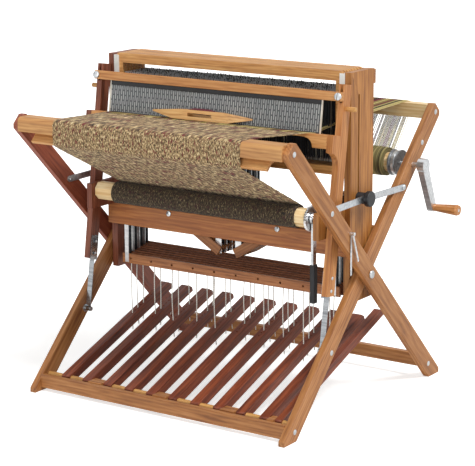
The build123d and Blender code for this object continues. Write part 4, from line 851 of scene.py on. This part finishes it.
race_low, race_high = upright_span("race_board")
reed_edge = leaned @ Vector((0, reed_low.y, race_high.z + skin))
race_edge = leaned @ Vector((0, race_low.y, race_high.z + skin))
beam_edge = Vector((0, beam_high.y, beam_high.z + skin))
reed_half = (web_high.x - web_low.x) / 2 - CLOTH_INSET
cloth_half = (roll_high.x - roll_low.x) / 2 - CLOTH_INSET


def half_wide(y):
    """Half the width of the web in front of the reed, at one depth."""
    share = (y - beam_edge.y) / (reed_edge.y - beam_edge.y)
    return cloth_half + (reed_half - cloth_half) * min(1.0, max(0.0, share))


fell = beam_edge.lerp(race_edge, (FELL_Y - beam_edge.y) / (race_edge.y - beam_edge.y))
bend = (beam_low.y + BEAM_ROUND, beam_high.z - BEAM_ROUND)
slat_nose = Vector((0, slat_low.y - skin - SLAT_CLEAR, slat_low.z + SLAT_NOSE))
slat_under = Vector((0, slat_low.y + SLAT_TURN, slat_low.z - skin - SLAT_CLEAR))
touch = tangent(slat_under, roll_at, roll_r + skin, -1)
lay_on = math.degrees(math.atan2(touch.z - roll_at.z, touch.y - roll_at.y))
front_line = [fell, beam_edge]
front_line += arc(bend, BEAM_ROUND + skin, 90, 180, BEND_STEPS)
front_line += [Vector((0, beam_low.y - skin, beam_low.z)), slat_nose, slat_under]
front_line += arc((roll_at.y, roll_at.z), roll_r + skin, lay_on, lay_on - ROLL_WRAP, WRAP_STEPS)
rows, reach = along(front_line, CLOTH_STEP)
runs = [pattern_run(a, b) for a, b in zip(rows, rows[1:])]
place_along = [0.0]
for a, b, run in zip(rows, rows[1:], runs):
    place_along.append(place_along[-1] + (b - a).length * run[1])
chance = random.Random(23)
ripple = [chance.uniform(-1, 1) for i in range(CLOTH_COLUMNS + 1)]
form = bmesh.new()
uv = form.loops.layers.uv.new("weave")
grid = []
for j, row in enumerate(rows):
    half = half_wide(row.y) if row.z > beam_low.z else cloth_half
    line = []
    for i in range(CLOTH_COLUMNS + 1):
        across = -1 + 2 * i / CLOTH_COLUMNS
        edge = EDGE_WAVE * math.sin(j * EDGE_BEAT) * abs(across) ** EDGE_POWER
        sag = WEB_SAG * ripple[i] * math.sin(j * SAG_BEAT + ripple[i])
        line.append(form.verts.new((middle_x + across * half + edge, row.y, row.z + sag)))
    grid.append(line)
for j in range(len(rows) - 1):
    for i in range(CLOTH_COLUMNS):
        face = form.faces.new((grid[j][i], grid[j][i + 1], grid[j + 1][i + 1], grid[j + 1][i]))
        for loop, (a, b) in zip(face.loops, ((i, j), (i + 1, j), (i + 1, j + 1), (i, j + 1))):
            loop[uv].uv = (2 * cloth_half * runs[j][0] * a / CLOTH_COLUMNS, place_along[b])
bmesh.ops.recalc_face_normals(form, faces=form.faces[:])
bmesh.ops.solidify(form, geom=form.faces[:], thickness=CLOTH_THICK)
tweed = wool_tweed("wool_tweed", ("2A1D14", "624E38", "987E58", "C0A678", "F0E0B8"), "6C2A2A")
cloth = seat(form, "tweed_web", tweed, None, "cloth", "cloth_web")
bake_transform(cloth)

# Cloth roll: the finished cloth wound tightly on its beam.
# It is a little uneven, and its layers show at the ends.
CLOTH_CORE = 0.0335
WOUND_STEPS = 40
END_DISH, END_ROUND, END_INSET = 0.0015, 0.003, 0.001
WOUND_UNEVEN = 0.0014
END_SPREAD = 0.3


def wound(node, material, slot, core, seed):
    """A roll of cloth or yarn: an uneven drum round its beam with stepped ends."""
    low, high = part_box(node)
    centre, radius = (low + high) / 2, (high.z - low.z) / 2
    chance = random.Random(seed)
    form = bmesh.new()
    dish_r, rim_r = (core + radius) / 2, radius - END_ROUND
    profile = [(low.x, core), (low.x + END_DISH, dish_r), (low.x, rim_r)]
    for i in range(WOUND_STEPS + 1):
        x = low.x + END_INSET + (high.x - low.x - 2 * END_INSET) * i / WOUND_STEPS
        profile.append((x, radius - chance.uniform(0.0, WOUND_UNEVEN)))
    profile += [(high.x, rim_r), (high.x - END_DISH, dish_r), (high.x, core)]
    lathe(form, [(x, 0, r) for x, r in profile], ROLL_STEPS)
    uv = form.loops.layers.uv.new("weave")
    for face in form.faces:
        for loop in face.loops:
            co = loop.vert.co
            loop[uv].uv = (co.x, radius * math.atan2(co.y, co.z) + END_SPREAD * math.hypot(co.y, co.z))
    bmesh.ops.translate(form, vec=Vector((0, centre.y, centre.z)), verts=form.verts[:])
    seat(form, f"{node}_wound", material, node_body[node], slot, node)


# The roll is the web's tweed painted much darker, as painted shade.
shade_painted_tweed = wool_tweed("painted_shade_wool_tweed_roll", ("0E0A07", "261D15", "3E3222", "584A32", "8E7F60"), "341517")
wound("cloth_roll", shade_painted_tweed, "cloth", CLOTH_CORE, seed=31)

# Warp: long even yarns in olive, cream, brown, maroon and black, from the fell through the reed and the
# heddles, over the back beam and down to the warp beam. They are drawn thicker and fewer than life.
LEAD_R, BACK_R = 0.0009, 0.0013
LEAD_STEP, BACK_STEP = 0.06, 0.03
YARN_SIDES = 4
YARNS = 250
EYE_Z = 0.9535
MEET_Y = 0.016
WARP_INSET = 0.002
LEAVE_UP = 0.02
BACK_GAPS = 0.10

# Wool yarn: each end keeps its own colour from end to end, with slubs about 6 mm long.
yarn, tree, shader = new_material("wool_warp_yarn")
end_tone = add_node(tree, "Attribute", attribute_name="end_tone")
tone = add_node(tree, "ValToRGB", {0: end_tone.outputs["Fac"]},
                [(0.0, "8A7E42"), (0.20, "CDB980"), (0.38, "6B4E34"),
                 (0.52, "6A2F35"), (0.66, "A79A62"), (0.82, "241F1B")])
tone.color_ramp.interpolation = "CONSTANT"
place = add_node(tree, "TexCoord").outputs["Object"]
slub = add_node(tree, "TexNoise", {"Vector": place, "Scale": 160.0, "Detail": 2.0})
shade = add_node(tree, "MapRange", {"Value": slub, "To Min": 0.70, "To Max": 1.2})
slubbed = add_node(tree, "HueSaturation", {"Value": shade, "Color": tone})
set_inputs(tree, shader, {"Base Color": slubbed, "Roughness": 0.9})

back_low, back_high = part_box("back_beam")
warp_low, warp_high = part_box("warp_roll")
warp_at, warp_r = (warp_low + warp_high) / 2, (warp_high.z - warp_low.z) / 2
warp_left, warp_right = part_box("warp_web")
warp_half = (warp_right.x - warp_left.x) / 2 - WARP_INSET
yarn_skin = BACK_R + SKIN_GAP
meet = Vector((0, MEET_Y, EYE_Z))
bend = (back_high.y - BEAM_ROUND, back_high.z - BEAM_ROUND)
leave = Vector((0, back_high.y + yarn_skin, back_low.z + LEAVE_UP))
back_line = [meet, Vector((0, back_low.y, back_high.z + yarn_skin))]
back_line += arc(bend, BEAM_ROUND + yarn_skin, 90, 0, BEND_STEPS)
back_line += [leave, tangent(leave, warp_at, warp_r + yarn_skin, -1)]
lead_line = [fell, race_edge, reed_edge, meet]
chance = random.Random(41)
ends = [-1 + 2 * (i + 0.5) / YARNS for i in range(YARNS)]
tones = []
while len(tones) < YARNS:
    tones += [chance.random()] * chance.choice((1, 1, 1, 2, 3))


def yarns(line, radius, width, left_out):
    """The warp ends along one line across the loom as thin four-sided yarns, a share of them left out.
    width gives half the width of the warp at each point of the line."""
    form = bmesh.new()
    layer = form.verts.layers.float.new("end_tone")
    for end, shade in zip(ends, tones):
        if chance.random() < left_out:
            continue
        rings = []
        for at in line:
            ring = []
            for s in range(YARN_SIDES):
                turn = 2 * math.pi * s / YARN_SIDES
                x = middle_x + end * width(at) + radius * math.cos(turn)
                vert = form.verts.new((x, at.y, at.z + radius * math.sin(turn)))
                vert[layer] = shade
                ring.append(vert)
            rings.append(ring)
        sleeve(form, rings)
    bmesh.ops.recalc_face_normals(form, faces=form.faces[:])
    return form


form = yarns(along(lead_line, LEAD_STEP)[0], LEAD_R, lambda at: half_wide(at.y), 0.0)
lead = seat(form, "warp_lead_yarns", yarn, None, "warp_yarn")
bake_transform(lead)
form = yarns(along(back_line, BACK_STEP)[0], BACK_R, lambda at: warp_half, BACK_GAPS)
back = seat(form, "warp_back_yarns", yarn, None, "warp_yarn", "warp_web")
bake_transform(back)

# Warp roll: the stored warp of wool, wound on the warp beam yarn beside yarn.
# Each yarn shows as a fine ridge about 3 mm broad, in bands of colour.
WARP_CORE = 0.0355
wool, tree, shader = new_material("wound_wool_warp")
cut = add_node(tree, "UVMap", uv_map="weave")
narrow = add_node(tree, "Mapping", {"Vector": cut, "Scale": (1.0, 0.01, 1.0)})
bands = add_node(tree, "TexNoise", {"Vector": narrow, "Scale": 130.0, "Detail": 3.0})
tone = add_node(tree, "ValToRGB", {0: bands},
                [(0.34, "2E2419"), (0.45, "5F5636"), (0.55, "8F8352"), (0.66, "C2B27C")])
ridge = add_node(tree, "TexWave", {"Vector": cut, "Scale": 98.0}, bands_direction="X")
relief = add_node(tree, "Bump", {"Strength": 0.6, "Distance": 0.0008, "Height": ridge.outputs["Fac"]})
set_inputs(tree, shader, {"Base Color": tone, "Normal": relief, "Roughness": 0.92})
wound("warp_roll", wool, "warp_yarn", WARP_CORE, seed=37)

# Boat shuttle: a slim hull of polished hardwood with turned-up points, an open well and a slot in its wall.
# A steel pin in the well carries a bobbin of maroon yarn that stands a little proud of the deck.
SHUTTLE_TURN = math.radians(5.0)
BOBBIN_HALF, BOBBIN_R, BOBBIN_Z, PIN_R = 0.056, 0.0104, 0.0300, 0.0016
BOBBIN_STEPS = 20
BOAT_EASE = 0.0025
boat_low, boat_high = upright_span("shuttle")
boat = Matrix.Translation(((boat_low.x + boat_high.x) / 2, (boat_low.y + boat_high.y) / 2, boat_low.z))
boat = leaned @ boat @ Matrix.Rotation(SHUTTLE_TURN, 4, "Z")
boat_grain = oiled_wood("polished_shuttle_wood", ("E8BC7C", "D6A060", "A06C36"), sheen=0.32)
eased("shuttle", boat_grain, "pale_wood", ease=BOAT_EASE, name="shuttle_hull")

# Maroon wool in coils about 2 mm apart.
maroon, tree, shader = new_material("maroon_wool_bobbin")
place = add_node(tree, "TexCoord").outputs["Object"]
coils = add_node(tree, "TexWave", {"Vector": place, "Scale": 140.0, "Distortion": 1.5}, bands_direction="X")
tone = add_node(tree, "ValToRGB", {0: coils.outputs["Fac"]}, [(0.2, "3A141C"), (0.8, "6E2A36")])
relief = add_node(tree, "Bump", {"Strength": 0.6, "Distance": 0.0006, "Height": coils.outputs["Fac"]})
set_inputs(tree, shader, {"Base Color": tone, "Normal": relief, "Roughness": 0.9})
form = bmesh.new()
swell = [(-1.0, PIN_R), (-0.9, 0.55 * BOBBIN_R), (-0.55, 0.95 * BOBBIN_R), (0.0, BOBBIN_R),
         (0.55, 0.95 * BOBBIN_R), (0.9, 0.55 * BOBBIN_R), (1.0, PIN_R)]
lathe(form, [(share * BOBBIN_HALF, 0, r) for share, r in swell], BOBBIN_STEPS)
bmesh.ops.transform(form, matrix=boat @ Matrix.Translation((0, 0, BOBBIN_Z)), verts=form.verts[:])
seat(form, "shuttle_bobbin", maroon, "shuttle", "cloth")

# Sizes: the box of all the looks is measured.
low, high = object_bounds()
